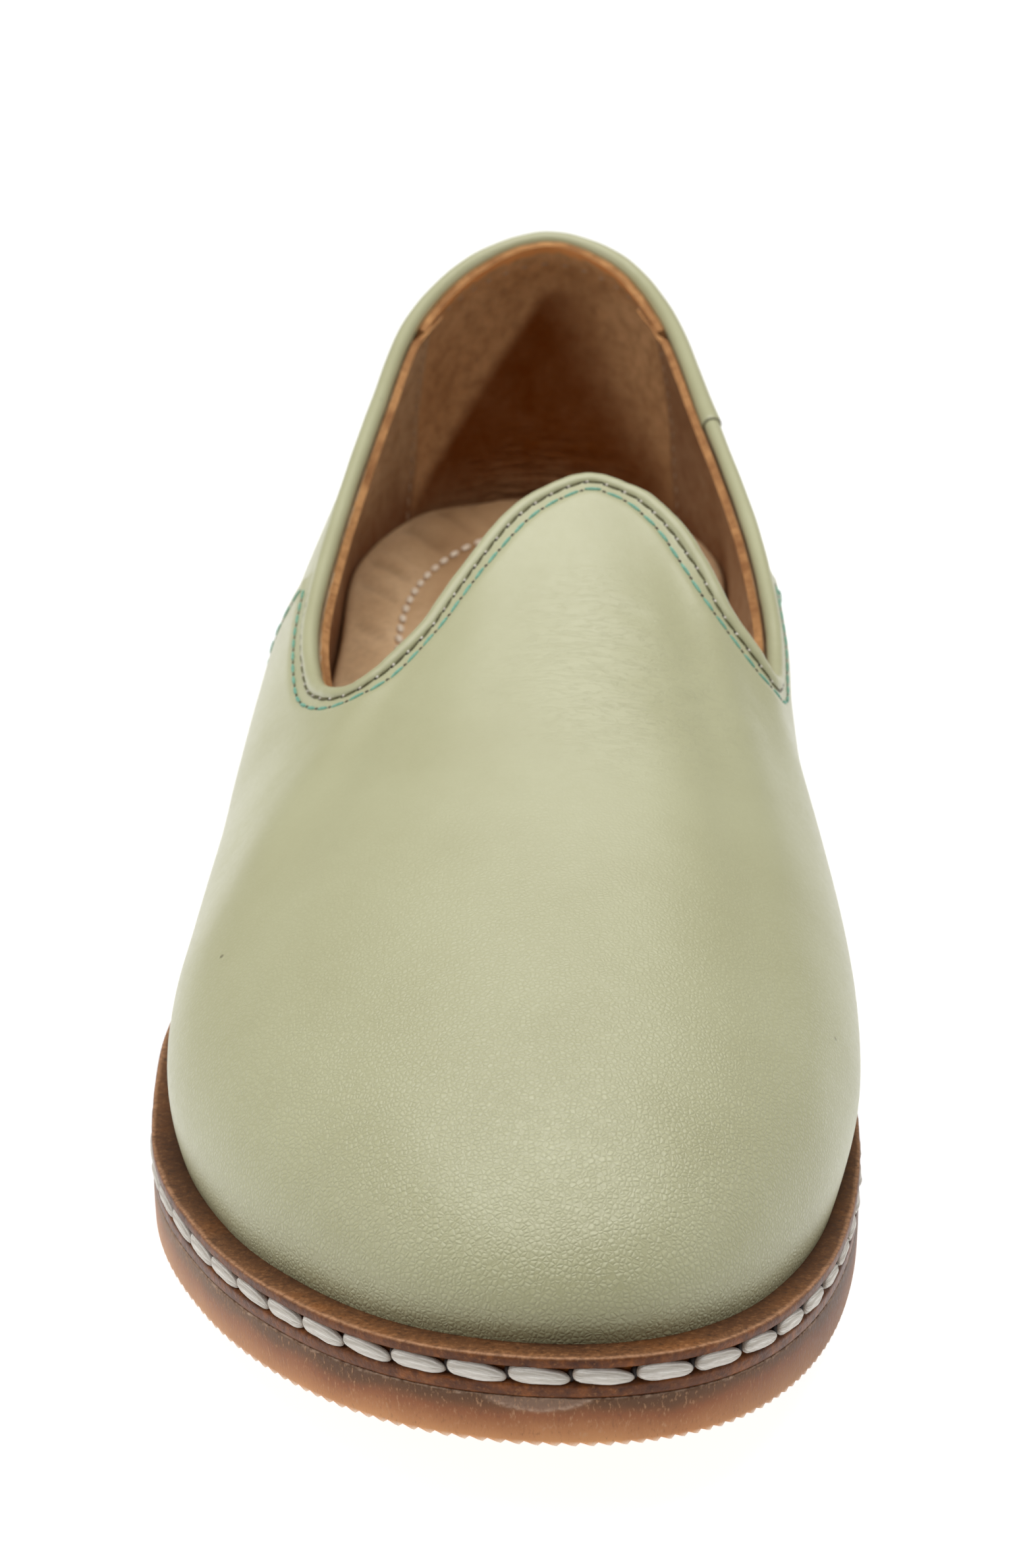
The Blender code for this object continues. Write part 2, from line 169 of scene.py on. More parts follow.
# Wall of the upper, one row per section round the shoe: the toe, the lateral side, the heel, the medial side.
WALL_SECTIONS = (
    # along, side, top_x, top_y, top_z, flare, rise, shoulder, drop
    (0.0, -1, 6.8, 148.0, 69.9, 1.0, 24.0, 72.0, 30.0),
    (7.0, -1, 1.0, 145.5, 68.9, 0.6, 25.2, 65.9, 28.5),
    (16.0, -1, -4.6, 140.9, 66.7, 1.0, 25.1, 58.3, 26.3),
    (28.0, -1, -10.1, 133.4, 62.5, 1.9, 25.2, 46.4, 23.1),
    (43.0, -1, -15.6, 124.8, 57.5, 4.6, 23.4, 35.2, 20.0),
    (63.0, -1, -21.7, 119.7, 53.5, 6.1, 20.0, 29.8, 18.2),
    (90.0, -1, -26.4, 118.8, 50.5, 5.2, 17.6, 20.3, 17.5),
    (114.0, -1, -30.5, 122.7, 48.0, 5.1, 16.5, 13.4, 16.6),
    (132.0, -1, -33.1, 130.9, 46.5, 5.9, 17.4, 10.2, 13.5),
    (150.0, -1, -34.3, 146.0, 48.3, 6.5, 16.4, 9.2, 14.7),
    (172.0, -1, -32.0, 171.0, 52.2, 4.7, 15.0, 8.5, 12.0),
    (205.0, -1, -27.4, 204.0, 57.7, 2.0, 16.0, 5.0, 13.0),
    (234.0, -1, -22.1, 233.6, 62.5, 1.5, 18.0, 5.0, 15.0),
    (252.0, -1, -11.9, 252.1, 66.4, 2.0, 20.0, 5.0, 16.0),
    (262.0, -1, 1.4, 258.7, 68.2, 2.5, 20.0, 4.0, 17.0),
    (252.0, 1, 14.1, 252.3, 66.4, 2.0, 20.0, 5.0, 16.0),
    (234.0, 1, 22.3, 235.0, 62.5, 1.5, 18.0, 5.0, 15.0),
    (205.0, 1, 27.7, 204.0, 57.7, 2.0, 16.0, 5.0, 13.0),
    (172.0, 1, 32.8, 172.0, 52.4, 2.3, 15.0, 5.0, 12.0),
    (150.0, 1, 34.8, 148.7, 48.7, 1.3, 14.9, 4.3, 11.2),
    (132.0, 1, 34.8, 134.9, 46.4, 1.4, 15.5, 3.4, 14.0),
    (110.0, 1, 33.9, 127.1, 47.1, 2.1, 16.4, 7.0, 18.4),
    (82.0, 1, 30.9, 125.9, 51.8, 4.4, 18.4, 15.4, 19.9),
    (54.0, 1, 26.0, 129.2, 57.5, 7.3, 20.6, 27.2, 23.8),
    (35.0, 1, 21.4, 136.5, 63.4, 4.4, 24.2, 39.3, 26.9),
    (21.0, 1, 16.2, 143.6, 67.3, 1.9, 25.6, 49.8, 29.0),
    (10.0, 1, 11.8, 147.0, 68.9, 0.5, 24.8, 61.2, 28.6),
)
SECTIONS = len(WALL_SECTIONS)

# Soft creases in the vamp over the ball of the foot, each a trough from one plan point to another.
VAMP_CREASES = (
    # from_x, from_y, to_x, to_y, depth, half_width
    (8.5, 123.2, 15.2, 122.8, 0.16, 1.0),
    (10.0, 120.8, 14.6, 121.4, 0.12, 0.9),
    (11.2, 115.2, 16.8, 117.2, 0.14, 1.0),
    (10.5, 108.6, 19.0, 112.3, 0.16, 1.1),
    (16.2, 104.8, 28.0, 114.4, 0.18, 1.2),
    (22.4, 105.6, 29.0, 113.4, 0.14, 1.1),
)

# Roundness of the collar bead along the strip, which starts and ends at its joint on the inner side.
BEAD_SIZES = (
    # place, radius
    (JOINT_PLACE, 1.24),
    (20.0, 1.24),
    (27.0, 1.20),
    (34.0, 1.20),
    (36.5, 1.30),
    (39.0, 1.38),
    (41.0, 1.42),
    (JOINT_PLACE + SECTIONS - 0.3, 1.46),
    (JOINT_PLACE + SECTIONS, 1.58),
)


def turn_at(along, side):
    """Angle round the plan of a place on the sole's edge: 0 at the toe tip, half a turn at the heel."""
    angle = math.acos(max(-1.0, min(1.0, 1.0 - 2.0 * along / LENGTH)))
    return angle if side < 0 else FULL_TURN - angle


def through_ring(angles, values, wanted):
    """Smooth closed curve through values held at rising angles round one full turn."""
    angles = np.asarray(angles, float)
    values = np.asarray(values, float)
    angles_out = np.concatenate([[angles[-1] - FULL_TURN], angles, [angles[0] + FULL_TURN]])
    values_out = np.concatenate([[values[-1]], values, [values[0]]])
    step = np.diff(angles_out)
    slope = np.diff(values_out) / step
    tangent = (slope[:-1] * step[1:] + slope[1:] * step[:-1]) / (step[:-1] + step[1:])
    tangent = np.append(tangent, tangent[0])
    knots = angles_out[1:]
    held = values_out[1:]
    wanted = np.mod(np.asarray(wanted, float) - angles[0], FULL_TURN) + angles[0]
    i = np.clip(np.searchsorted(angles, wanted, side="right") - 1, 0, len(angles) - 1)
    span = knots[i + 1] - knots[i]
    u = (wanted - knots[i]) / span
    stay = 2.0 * u**3 - 3.0 * u**2 + 1.0
    leave = (u**3 - 2.0 * u**2 + u) * span
    reach = -2.0 * u**3 + 3.0 * u**2
    arrive = (u**3 - u**2) * span
    return stay * held[i] + leave * tangent[i] + reach * held[i + 1] + arrive * tangent[i + 1]


def plan_ring(column_lateral, column_medial, sign):
    """Angles and values of one pair of SOLE_PLAN columns, listed once round the plan."""
    angles = [turn_at(row[0], -1) for row in SOLE_PLAN]
    values = [sign * row[column_lateral] for row in SOLE_PLAN]
    for row in SOLE_PLAN[-2:0:-1]:
        angles.append(turn_at(row[0], 1))
        values.append(row[column_medial])
    return angles, values


def edge_point(turn):
    """Plan point of the sole's edge at each angle."""
    angles, values = plan_ring(1, 2, -1.0)
    x = through_ring(angles, values, turn)
    y = 0.5 * LENGTH * (1.0 - np.cos(turn))
    return np.stack([x, y], axis=-1)


def ledge_at(turn):
    """Distance from the sole's edge in to the upper's foot at each angle."""
    angles, values = plan_ring(3, 4, 1.0)
    return through_ring(angles, values, turn)


def edge_normal(turn):
    """Outward plan direction of the sole's edge at each angle."""
    step = 0.001
    run = edge_point(turn + step) - edge_point(turn - step)
    run /= np.linalg.norm(run, axis=-1, keepdims=True)
    return np.stack([-run[..., 1], run[..., 0]], axis=-1)


def sole_lift(y):
    """Height of the sole's underside over the floor: toe spring, flat ball, low arch, flat heel."""
    spring = TOE_SPRING * np.clip((SPRING_START - y) / SPRING_START, 0.0, 1.3) ** 2
    share = np.clip((y - ARCH_FRONT) / (ARCH_BACK - ARCH_FRONT), 0.0, 1.0)
    return spring + ARCH_RISE * np.sin(math.pi * share) ** 2


EDGE = edge_point(np.arange(720) * (FULL_TURN / 720))
MIDDLE_X = 0.5 * (EDGE[:, 0].min() + EDGE[:, 0].max())


def to_frame(points):
    """Metres in the part's frame: middle of the sole's plan at x = y = 0, floor at z = 0."""
    shift = np.array([MIDDLE_X, 0.5 * LENGTH, 0.0])
    return (np.asarray(points, float) - shift) * MM


def unit(vectors):
    """The same directions with a length of 1."""
    return vectors / np.linalg.norm(vectors, axis=-1, keepdims=True)


def smooth(share):
    """Soft step from 0 to 1."""
    share = np.clip(share, 0.0, 1.0)
    return share**2 * (3.0 - 2.0 * share)


def bell(away):
    """Soft hump: 1 at nothing, fading to 0 on both sides."""
    return np.exp(-(away**2))


def waver(run, *waves):
    """Uneven ripple along a run, as the sum of (length, size, start) waves."""
    return sum(size * np.sin(FULL_TURN * run / length + start) for length, size, start in waves)


def section_columns(places):
    """WALL_SECTIONS read at fractional row numbers, each column a smooth closed curve round the shoe."""
    rows = np.array([(turn_at(row[0], row[1]),) + tuple(row[2:]) for row in WALL_SECTIONS])
    low = np.floor(places).astype(int)
    u = (places - low)[:, None]

    def pick(number):
        picked = rows[number % SECTIONS].copy()
        picked[:, 0] += FULL_TURN * (number // SECTIONS)
        return picked

    a, b, c, d = pick(low - 1), pick(low), pick(low + 1), pick(low + 2)
    bend = (2.0 * a - 5.0 * b + 4.0 * c - d) * u**2 + (3.0 * b - a - 3.0 * c + d) * u**3
    return 0.5 * (2.0 * b + (c - a) * u + bend)


def seam_places():
    """Fractional row numbers of the two side seams."""
    fine = np.linspace(0.0, SECTIONS, 4001)
    turn = section_columns(fine)[:, 0]
    return [float(np.interp(turn_at(SEAM_ALONG, side), turn, fine)) for side in (-1, 1)]


def wall_curves(places):
    """Outer face of the upper: one curve per place, from its foot on the midsole up to the collar line."""
    columns = section_columns(places)
    turn = columns[:, 0]
    top = columns[:, 1:4]
    flare, rise, shoulder, drop = columns[:, 4:].T[:, :, None]
    plan = edge_point(turn)
    out = edge_normal(turn)
    foot_plan = plan - out * ledge_at(turn)[:, None]
    foot_height = MIDSOLE_TOP + sole_lift(foot_plan[:, 1])
    foot = np.column_stack([foot_plan, foot_height])
    away = foot_plan - top[:, :2] + out * TURN_IN
    away /= np.linalg.norm(away, axis=1, keepdims=True)
    flat = np.zeros((len(turn), 1))
    up = np.array([0.0, 0.0, 1.0])
    low_pull = foot + np.hstack([out, flat]) * flare + up * rise
    high_pull = top + np.hstack([away, flat]) * shoulder - up * drop
    t = np.linspace(0.0, 1.0, CURVE_STEPS)[None, :, None]
    ends = (1.0 - t) ** 3 * foot[:, None] + t**3 * top[:, None]
    pulls = 3.0 * (1.0 - t) ** 2 * t * low_pull[:, None] + 3.0 * (1.0 - t) * t**2 * high_pull[:, None]
    return ends + pulls


def sheet_normals(points):
    """Outward direction at every point of a wall sheet."""
    around = np.gradient(points, axis=0)
    upward = np.gradient(points, axis=1)
    return unit(np.cross(upward, around))


def rim_lines():
    """Collar line sampled once round: places, bead middle line, outward and upward directions."""
    per_section = 32
    places = np.arange(-per_section, (SECTIONS + 1) * per_section) / per_section
    curves = wall_curves(places)
    out = sheet_normals(curves)[:, -1]
    up = unit(curves[:, -1] - curves[:, -3])
    kept = slice(per_section, -per_section)
    return places[kept], curves[kept, -1] - out[kept] * WALL_MIDDLE, out[kept], up[kept]


RIM_PLACES, RIM_AXIS, RIM_OUT, RIM_UP = rim_lines()


def rim_at(places):
    """Bead middle line, outward and upward directions at any places round the collar."""
    found = []
    for table in (RIM_AXIS, RIM_OUT, RIM_UP):
        columns = [np.interp(places, RIM_PLACES, table[:, k], period=SECTIONS) for k in range(3)]
        found.append(np.stack(columns, axis=-1))
    return found[0], unit(found[1]), unit(found[2])


def wall_sheet(places, rows, clear, top_rows=14, top_band=6.0):
    """Wall points from the foot up to a clear distance from the bead's middle line.

    Gives the points, their outward directions and their distances below the bead's middle line.
    """
    curves = wall_curves(places)
    normal = sheet_normals(curves)
    middle = curves - normal * WALL_MIDDLE
    points = np.zeros((len(places), rows, 3))
    out = np.zeros((len(places), rows, 3))
    below = np.zeros((len(places), rows))
    for i, curve in enumerate(curves):
        run = np.append(0.0, np.cumsum(np.linalg.norm(np.diff(curve, axis=0), axis=1)))
        gap = np.linalg.norm(middle[i][:, None] - RIM_AXIS[None], axis=2).min(axis=1)
        last = np.nonzero(gap >= clear)[0].max()
        rest = (gap[last] - clear) / (gap[last] - gap[last + 1])
        reach = run[last] + rest * (run[last + 1] - run[last])
        wanted = np.concatenate([
            np.linspace(0.0, reach - top_band, rows - top_rows, endpoint=False),
            np.linspace(reach - top_band, reach, top_rows),
        ])
        for k in range(3):
            points[i, :, k] = np.interp(wanted, run, curve[:, k])
            out[i, :, k] = np.interp(wanted, run, normal[i, :, k])
        below[i] = np.interp(wanted, run, gap)
    return points, unit(out), below


# Node graphs

def tone(red, green, blue):
    """Linear colour of a shade given on the 0 to 255 scale of a picture."""
    def straight(value):
        value /= 255.0
        return value / 12.92 if value <= 0.04045 else ((value + 0.055) / 1.055) ** 2.4
    return (straight(red), straight(green), straight(blue), 1.0)


def add(tree, kind, inputs=None, **settings):
    """New node with its settings and its sockets, each socket given a value or another node's output."""
    node = tree.nodes.new(kind)
    for key, value in settings.items():
        setattr(node, key, value)
    for key, value in (inputs or {}).items():
        if isinstance(value, bpy.types.NodeSocket):
            tree.links.new(value, node.inputs[key])
        else:
            node.inputs[key].default_value = value
    return node


def start_finish(name, sockets):
    """New material with these shader values: material, tree, shader and the object's coordinates."""
    material = bpy.data.materials.new(name)
    material.use_nodes = True
    tree = material.node_tree
    shader = tree.nodes["Principled BSDF"]
    for key, value in sockets.items():
        shader.inputs[key].default_value = value
    place = tree.nodes.new("ShaderNodeTexCoord").outputs["Object"]
    return material, tree, shader, place


def stretched(tree, place, scale, turn=(0.0, 0.0, 0.0)):
    """Coordinates turned and then scaled on each axis."""
    inputs = {"Vector": place, "Rotation": turn, "Scale": scale}
    return add(tree, "ShaderNodeMapping", inputs).outputs["Vector"]


def grain(tree, place, scale, detail=3.0, roughness=0.5):
    """Cloudy noise with about this many features to the metre."""
    inputs = {"Vector": place, "Scale": scale, "Detail": detail, "Roughness": roughness}
    return add(tree, "ShaderNodeTexNoise", inputs).outputs["Fac"]


def cells(tree, place, scale, feature="F1"):
    """Distances in a cell pattern with about this many cells to the metre."""
    inputs = {"Vector": place, "Scale": scale}
    return add(tree, "ShaderNodeTexVoronoi", inputs, feature=feature).outputs["Distance"]


def sums(tree, operation, first, second):
    """One sum of two values."""
    return add(tree, "ShaderNodeMath", {0: first, 1: second}, operation=operation).outputs[0]


def spread(tree, value, low, high, to_low=0.0, to_high=1.0):
    """Value moved from one range to another and held inside it."""
    inputs = {"Value": value, "From Min": low, "From Max": high, "To Min": to_low, "To Max": to_high}
    return add(tree, "ShaderNodeMapRange", inputs, clamp=True).outputs["Result"]


def shades(tree, value, *stops):
    """Colour ramp through (place, colour) stops."""
    node = add(tree, "ShaderNodeValToRGB", {"Fac": value})
    elements = node.color_ramp.elements
    elements[0].position, elements[0].color = stops[0]
    elements[1].position, elements[1].color = stops[-1]
    for position, colour in stops[1:-1]:
        elements.new(position).color = colour
    return node.outputs["Color"]


def mixed(tree, share, first, second):
    """Mix of two colours."""
    inputs = {0: share, 6: first, 7: second}
    return add(tree, "ShaderNodeMix", inputs, data_type="RGBA").outputs[2]


def mark(tree, name):
    """Number kept on the mesh by its maker."""
    return add(tree, "ShaderNodeAttribute", attribute_name=name).outputs["Fac"]


def bumped(tree, shader, *layers):
    """Stacked bumps, each (height, strength, depth in millimetres), led into the shader."""
    normal = None
    for height, strength, depth in layers:
        inputs = {"Height": height, "Strength": strength, "Distance": depth * MM}
        if normal is not None:
            inputs["Normal"] = normal
        normal = add(tree, "ShaderNodeBump", inputs).outputs["Normal"]
    tree.links.new(normal, shader.inputs["Normal"])


def sage_leather(name, shade, darker):
    """Satin leather, cloudy and specked, with a fine crackle near the toe darkened in its valleys by painted
    shade, a painted shadow where cut is marked and thin wrinkles where marked.
    """
    material, tree, shader, place = start_finish(
        name, {"Specular IOR Level": 0.5, "Coat Weight": 0.3, "Coat Roughness": 0.3})
    cloud = grain(tree, place, 38.0, 4.0, 0.6)
    fine = grain(tree, place, 900.0, 3.0, 0.6)
    colour = mixed(tree, spread(tree, cloud, 0.3, 0.7), shade, darker)
    colour = mixed(tree, spread(tree, fine, 0.35, 0.75, 0.0, 0.16), colour, darker)
    from_valley = cells(tree, place, 1650.0, feature="DISTANCE_TO_EDGE")
    along = add(tree, "ShaderNodeSeparateXYZ", {"Vector": place}).outputs["Y"]
    near_toe = spread(tree, along, -0.105, -0.04, 1.0, 0.12)
    # Painted shade in the valleys of the crackle near the toe.
    valley_shade = sums(tree, "MULTIPLY", spread(tree, from_valley, 0.0, 0.2, 0.22, 0.0), near_toe)
    colour = mixed(tree, valley_shade, colour, tone(128, 122, 84))
    pin = cells(tree, place, 72.0)
    speck = spread(tree, pin, 0.012, 0.03, 0.8, 0.0)
    colour = mixed(tree, speck, colour, tone(96, 90, 62))
    # Painted shadow: the collar roll's overlapping end is coloured dark for the gap at its joint.
    colour = mixed(tree, mark(tree, "cut"), colour, tone(62, 54, 32))
    tree.links.new(colour, shader.inputs["Base Color"])
    tree.links.new(spread(tree, fine, 0.3, 0.7, 0.36, 0.48), shader.inputs["Roughness"])
    pebble = sums(tree, "MULTIPLY", spread(tree, from_valley, 0.0, 0.35), near_toe)
    wrinkle = grain(tree, stretched(tree, place, (260.0, 1300.0, 700.0), (0.0, 0.0, 0.45)), 1.0, 3.0, 0.55)
    thin = spread(tree, sums(tree, "ABSOLUTE", sums(tree, "SUBTRACT", wrinkle, 0.5), 0.0), 0.0, 0.035)
    marked = sums(tree, "MULTIPLY", thin, sums(tree, "ADD", mark(tree, "crease"), 0.08))
    bumped(tree, shader, (pebble, 0.8, 0.11), (fine, 0.12, 0.08), (cloud, 0.12, 0.5), (marked, 0.4, 0.14))
    return material


def napped_lining(name, shade, darker, raw_shade):
    """Brown lining leather with a mottled nap, darkened by painted shade and rucked where marked, its top
    edge raw and tan.
    """
    material, tree, shader, place = start_finish(
        name, {"Roughness": 0.95, "Specular IOR Level": 0.12})
    cloud = grain(tree, place, 45.0, 4.0, 0.6)
    nap = grain(tree, place, 1500.0, 3.0, 0.65)
    colour = mixed(tree, spread(tree, cloud, 0.32, 0.68), shade, darker)
    colour = mixed(tree, spread(tree, nap, 0.35, 0.75, 0.0, 0.4), colour, darker)
    mottle = grain(tree, place, 360.0, 5.0, 0.7)
    colour = mixed(tree, spread(tree, mottle, 0.42, 0.72, 0.0, 0.42), colour, tone(122, 82, 48))
    fray = spread(tree, grain(tree, place, 420.0, 3.0), 0.3, 0.7, -0.25, 0.25)
    ragged = sums(tree, "ADD", mark(tree, "raw"), fray)
    # Painted shade: where marked, the colour turns dark brown, made uneven by noise.
    shade_blot = spread(tree, grain(tree, place, 150.0, 4.0, 0.65), 0.3, 0.7, -0.08, 0.08)
    shade_amount = sums(tree, "MULTIPLY", shade_blot, spread(tree, mark(tree, "painted_shade"), 0.0, 0.25))
    shade_amount = spread(tree, sums(tree, "ADD", mark(tree, "painted_shade"), shade_amount), 0.0, 1.0)
    colour = mixed(tree, shade_amount, colour, tone(120, 62, 8))
    colour = mixed(tree, spread(tree, ragged, 0.35, 0.65), colour, raw_shade)
    tree.links.new(colour, shader.inputs["Base Color"])
    rucks = grain(tree, stretched(tree, place, (180.0, 180.0, 760.0)), 1.0, 2.0, 0.5)
    ruck = sums(tree, "MULTIPLY", rucks, mark(tree, "rucked"))
    bumped(tree, shader, (nap, 0.45, 0.2), (cloud, 0.2, 0.8), (ruck, 1.0, 1.1))
    return material


def raw_edge(name, shade, darker):
    """Cut leather edge with loose fibres."""
    material, tree, shader, place = start_finish(name, {"Roughness": 0.85, "Specular IOR Level": 0.25})
    fibre = grain(tree, place, 700.0, 4.0, 0.65)
    patch = grain(tree, place, 140.0, 3.0, 0.6)
    colour = mixed(tree, spread(tree, patch, 0.35, 0.7), shade, darker)
    colour = mixed(tree, spread(tree, fibre, 0.45, 0.7, 0.0, 0.75), colour, darker)
    tree.links.new(colour, shader.inputs["Base Color"])
    bumped(tree, shader, (fibre, 0.8, 0.3))
    return material


def tan_footbed():
    """Unfinished tan leather, finely wrinkled, lighter towards its edges as painted light and darker in the
    troughs of its folds as painted shade.
    """
    material, tree, shader, place = start_finish(
        "tan_footbed", {"Roughness": 0.62, "Specular IOR Level": 0.3})
    cloud = grain(tree, place, 55.0, 4.0, 0.6)
    fine = grain(tree, place, 900.0, 3.0, 0.6)
    # Painted light: the lighter colours go to the footbed's edges and the darker ones below to its middle,
    # standing in for light reaching the edges past the walls.
    front = shades(
        tree, cloud, (0.3, tone(218, 182, 138)), (0.5, tone(232, 198, 154)), (0.72, tone(240, 208, 166)))
    back = shades(
        tree, cloud, (0.3, tone(166, 130, 92)), (0.5, tone(182, 146, 106)), (0.72, tone(194, 158, 118)))
    colour = mixed(tree, mark(tree, "centre_weight"), front, back)
    colour = mixed(tree, spread(tree, fine, 0.45, 0.8, 0.0, 0.3), colour, tone(160, 122, 86))
    # Painted shade in the troughs of the heel pad's gathers.
    colour = mixed(tree, sums(tree, "MULTIPLY", mark(tree, "fold_shade"), 0.26), colour, tone(118, 84, 56))
    tree.links.new(colour, shader.inputs["Base Color"])
    wrinkle = cells(tree, stretched(tree, place, (1.0, 0.55, 1.0)), 420.0, feature="SMOOTH_F1")
    bumped(tree, shader, (wrinkle, 0.25, 0.25), (fine, 0.3, 0.12))
    return material


def burnished_welt():
    """Dark waxed leather, speckled on top and darkened towards the upper by painted shade, burnished orange
    on its side, with a painted highlight along its rounded edge.
    """
    material, tree, shader, place = start_finish("burnished_welt", {"Specular IOR Level": 0.2})
    patch = grain(tree, place, 62.0, 5.0, 0.65)
    speckle = grain(tree, place, 1500.0, 3.0, 0.7)
    blotch = grain(tree, place, 520.0, 4.0, 0.7)
    top = shades(
        tree, patch, (0.34, tone(84, 51, 28)), (0.52, tone(110, 70, 38)), (0.68, tone(130, 78, 34)))
    top = mixed(tree, spread(tree, speckle, 0.52, 0.74, 0.0, 0.6), top, tone(172, 122, 78))
    # Painted shade: the top darker towards the upper.
    top = mixed(tree, sums(tree, "MULTIPLY", mark(tree, "inner"), 0.5), top, tone(56, 33, 19))
    top = mixed(tree, spread(tree, speckle, 0.28, 0.46, 0.75, 0.0), top, tone(44, 27, 17))
    across = add(tree, "ShaderNodeSeparateXYZ", {"Vector": place}).outputs["X"]
    to_side = spread(tree, sums(tree, "ABSOLUTE", across, 0.0), 0.02, 0.04, 0.0, 0.4)
    top = mixed(tree, to_side, top, tone(62, 42, 30))
    flank = shades(
        tree, blotch, (0.3, tone(64, 30, 10)), (0.5, tone(100, 54, 20)), (0.7, tone(140, 80, 32)))
    flank = mixed(tree, spread(tree, speckle, 0.56, 0.74, 0.0, 0.5), flank, tone(170, 118, 74))
    flank = mixed(tree, spread(tree, patch, 0.35, 0.65, 0.0, 0.4), flank, tone(78, 44, 24))
    colour = mixed(tree, mark(tree, "side"), top, flank)
    # Painted highlight along the rounded top edge, broken by the speckle.
    edge_highlight = sums(tree, "MULTIPLY", mark(tree, "edge_highlight"), spread(tree, speckle, 0.32, 0.6, 0.3, 0.95))
    colour = mixed(tree, edge_highlight, colour, tone(178, 134, 100))
    tree.links.new(colour, shader.inputs["Base Color"])
    rough = spread(tree, speckle, 0.3, 0.7, 0.5, 0.7)
    burnish = sums(tree, "MULTIPLY", mark(tree, "side"), 0.2)
    tree.links.new(sums(tree, "SUBTRACT", rough, burnish), shader.inputs["Roughness"])
    bumped(tree, shader, (speckle, 0.45, 0.16), (blotch, 0.3, 0.25), (patch, 0.2, 0.5))
    return material


def gum_rubber():
    """Gum rubber with short brush marks and a pale glue line, painted shade making it greyish brown at the
    top and towards the inner side, painted light making it amber lower down, towards the outer side and on
    its teeth.
    """
    material, tree, shader, place = start_finish(
        "gum_rubber", {"Specular IOR Level": 0.2, "Subsurface Weight": 0.08, "Subsurface Scale": 0.0015})
    shader.inputs["Subsurface Radius"].default_value = (1.0, 0.55, 0.3)
    rise = mark(tree, "rise")
    cloud = grain(tree, place, 60.0, 4.0, 0.6)
    height = sums(tree, "ADD", rise, spread(tree, cloud, 0.3, 0.7, -0.14, 0.14))
    # Painted shade and light: the colour runs from light amber low down, where the floor lights the rubber,
    # to dark greyish brown at the top, in the welt's shade.
    colour = shades(
        tree, height, (0.0, tone(208, 150, 100)), (0.25, tone(184, 126, 82)), (0.6, tone(148, 92, 58)),
        (0.84, tone(104, 70, 45)), (1.0, tone(92, 64, 43)))
    colour = mixed(tree, sums(tree, "MULTIPLY", mark(tree, "smear"), 0.7), colour, tone(138, 112, 94))
    brush = grain(tree, stretched(tree, place, (3000.0, 3000.0, 1200.0), (0.4, 0.4, 0.0)), 1.0, 2.0, 0.6)
    high = spread(tree, rise, 0.05, 0.3, 0.25, 1.0)
    pale = sums(tree, "MULTIPLY", spread(tree, brush, 0.56, 0.72, 0.0, 0.6), high)
    colour = mixed(tree, pale, colour, tone(190, 146, 110))
    colour = mixed(tree, spread(tree, brush, 0.26, 0.42, 0.4, 0.0), colour, tone(112, 72, 50))
    across = add(tree, "ShaderNodeSeparateXYZ", {"Vector": place}).outputs["X"]
    # Painted light towards the outer side and painted shade towards the inner side of the shoe.
    colour = mixed(tree, spread(tree, across, -0.044, -0.02, 0.3, 0.0), colour, tone(176, 146, 120))
    colour = mixed(tree, spread(tree, across, 0.022, 0.038, 0.0, 0.55), colour, tone(84, 58, 42))
    rough = grain(tree, place, 1300.0, 3.0, 0.65)
    lip = sums(tree, "MULTIPLY", mark(tree, "glue"), spread(tree, rough, 0.38, 0.6, 0.15, 0.9))
    colour = mixed(tree, lip, colour, tone(196, 166, 142))
    # Painted highlight on one face of each tooth's tip.
    colour = mixed(tree, mark(tree, "tooth_highlight"), colour, tone(240, 226, 208))
    tree.links.new(colour, shader.inputs["Base Color"])
    tree.links.new(spread(tree, brush, 0.3, 0.7, 0.40, 0.6), shader.inputs["Roughness"])
    ribs = add(tree, "ShaderNodeTexWave", {
        "Vector": place, "Scale": 75.0, "Distortion": 9.0, "Detail": 0.0, "Detail Scale": 1.0,
    }, wave_type="BANDS", bands_direction="X").outputs["Fac"]
    under = sums(tree, "MULTIPLY", ribs, mark(tree, "under"))
    bumped(tree, shader, (brush, 0.45, 0.14), (under, 0.8, 0.6))
    return material


def waxed_thread():
    """Thick off-white waxed thread with fine twisted strands, browned at the ends."""
    material, tree, shader, place = start_finish(
        "waxed_thread", {"Roughness": 0.7, "Specular IOR Level": 0.3})
    cover = add(tree, "ShaderNodeUVMap", uv_map="cover").outputs["UV"]
    twist = stretched(tree, cover, (26.0, 2.2, 1.0), (0.0, 0.0, 0.12))
    strand = grain(tree, twist, 1.0, 3.0, 0.6)
    fuzz = grain(tree, place, 1400.0, 3.0, 0.6)
    colour = mixed(tree, spread(tree, strand, 0.40, 0.66), tone(192, 184, 172), tone(238, 233, 225))
    colour = mixed(tree, spread(tree, fuzz, 0.55, 0.8, 0.0, 0.35), colour, tone(180, 166, 150))
    colour = mixed(tree, mark(tree, "end"), colour, tone(160, 132, 104))
    tree.links.new(colour, shader.inputs["Base Color"])
    bumped(tree, shader, (strand, 0.9, 0.4), (fuzz, 0.35, 0.14))
    return material


def sewing_thread(name, shade, darker):
    """Thin twisted sewing thread."""
    material, tree, shader, place = start_finish(name, {"Roughness": 0.6, "Specular IOR Level": 0.35})
    twist = grain(tree, place, 2600.0, 2.0, 0.5)
    colour = mixed(tree, spread(tree, twist, 0.35, 0.65), shade, darker)
    tree.links.new(colour, shader.inputs["Base Color"])
    bumped(tree, shader, (twist, 0.4, 0.08))
    return material


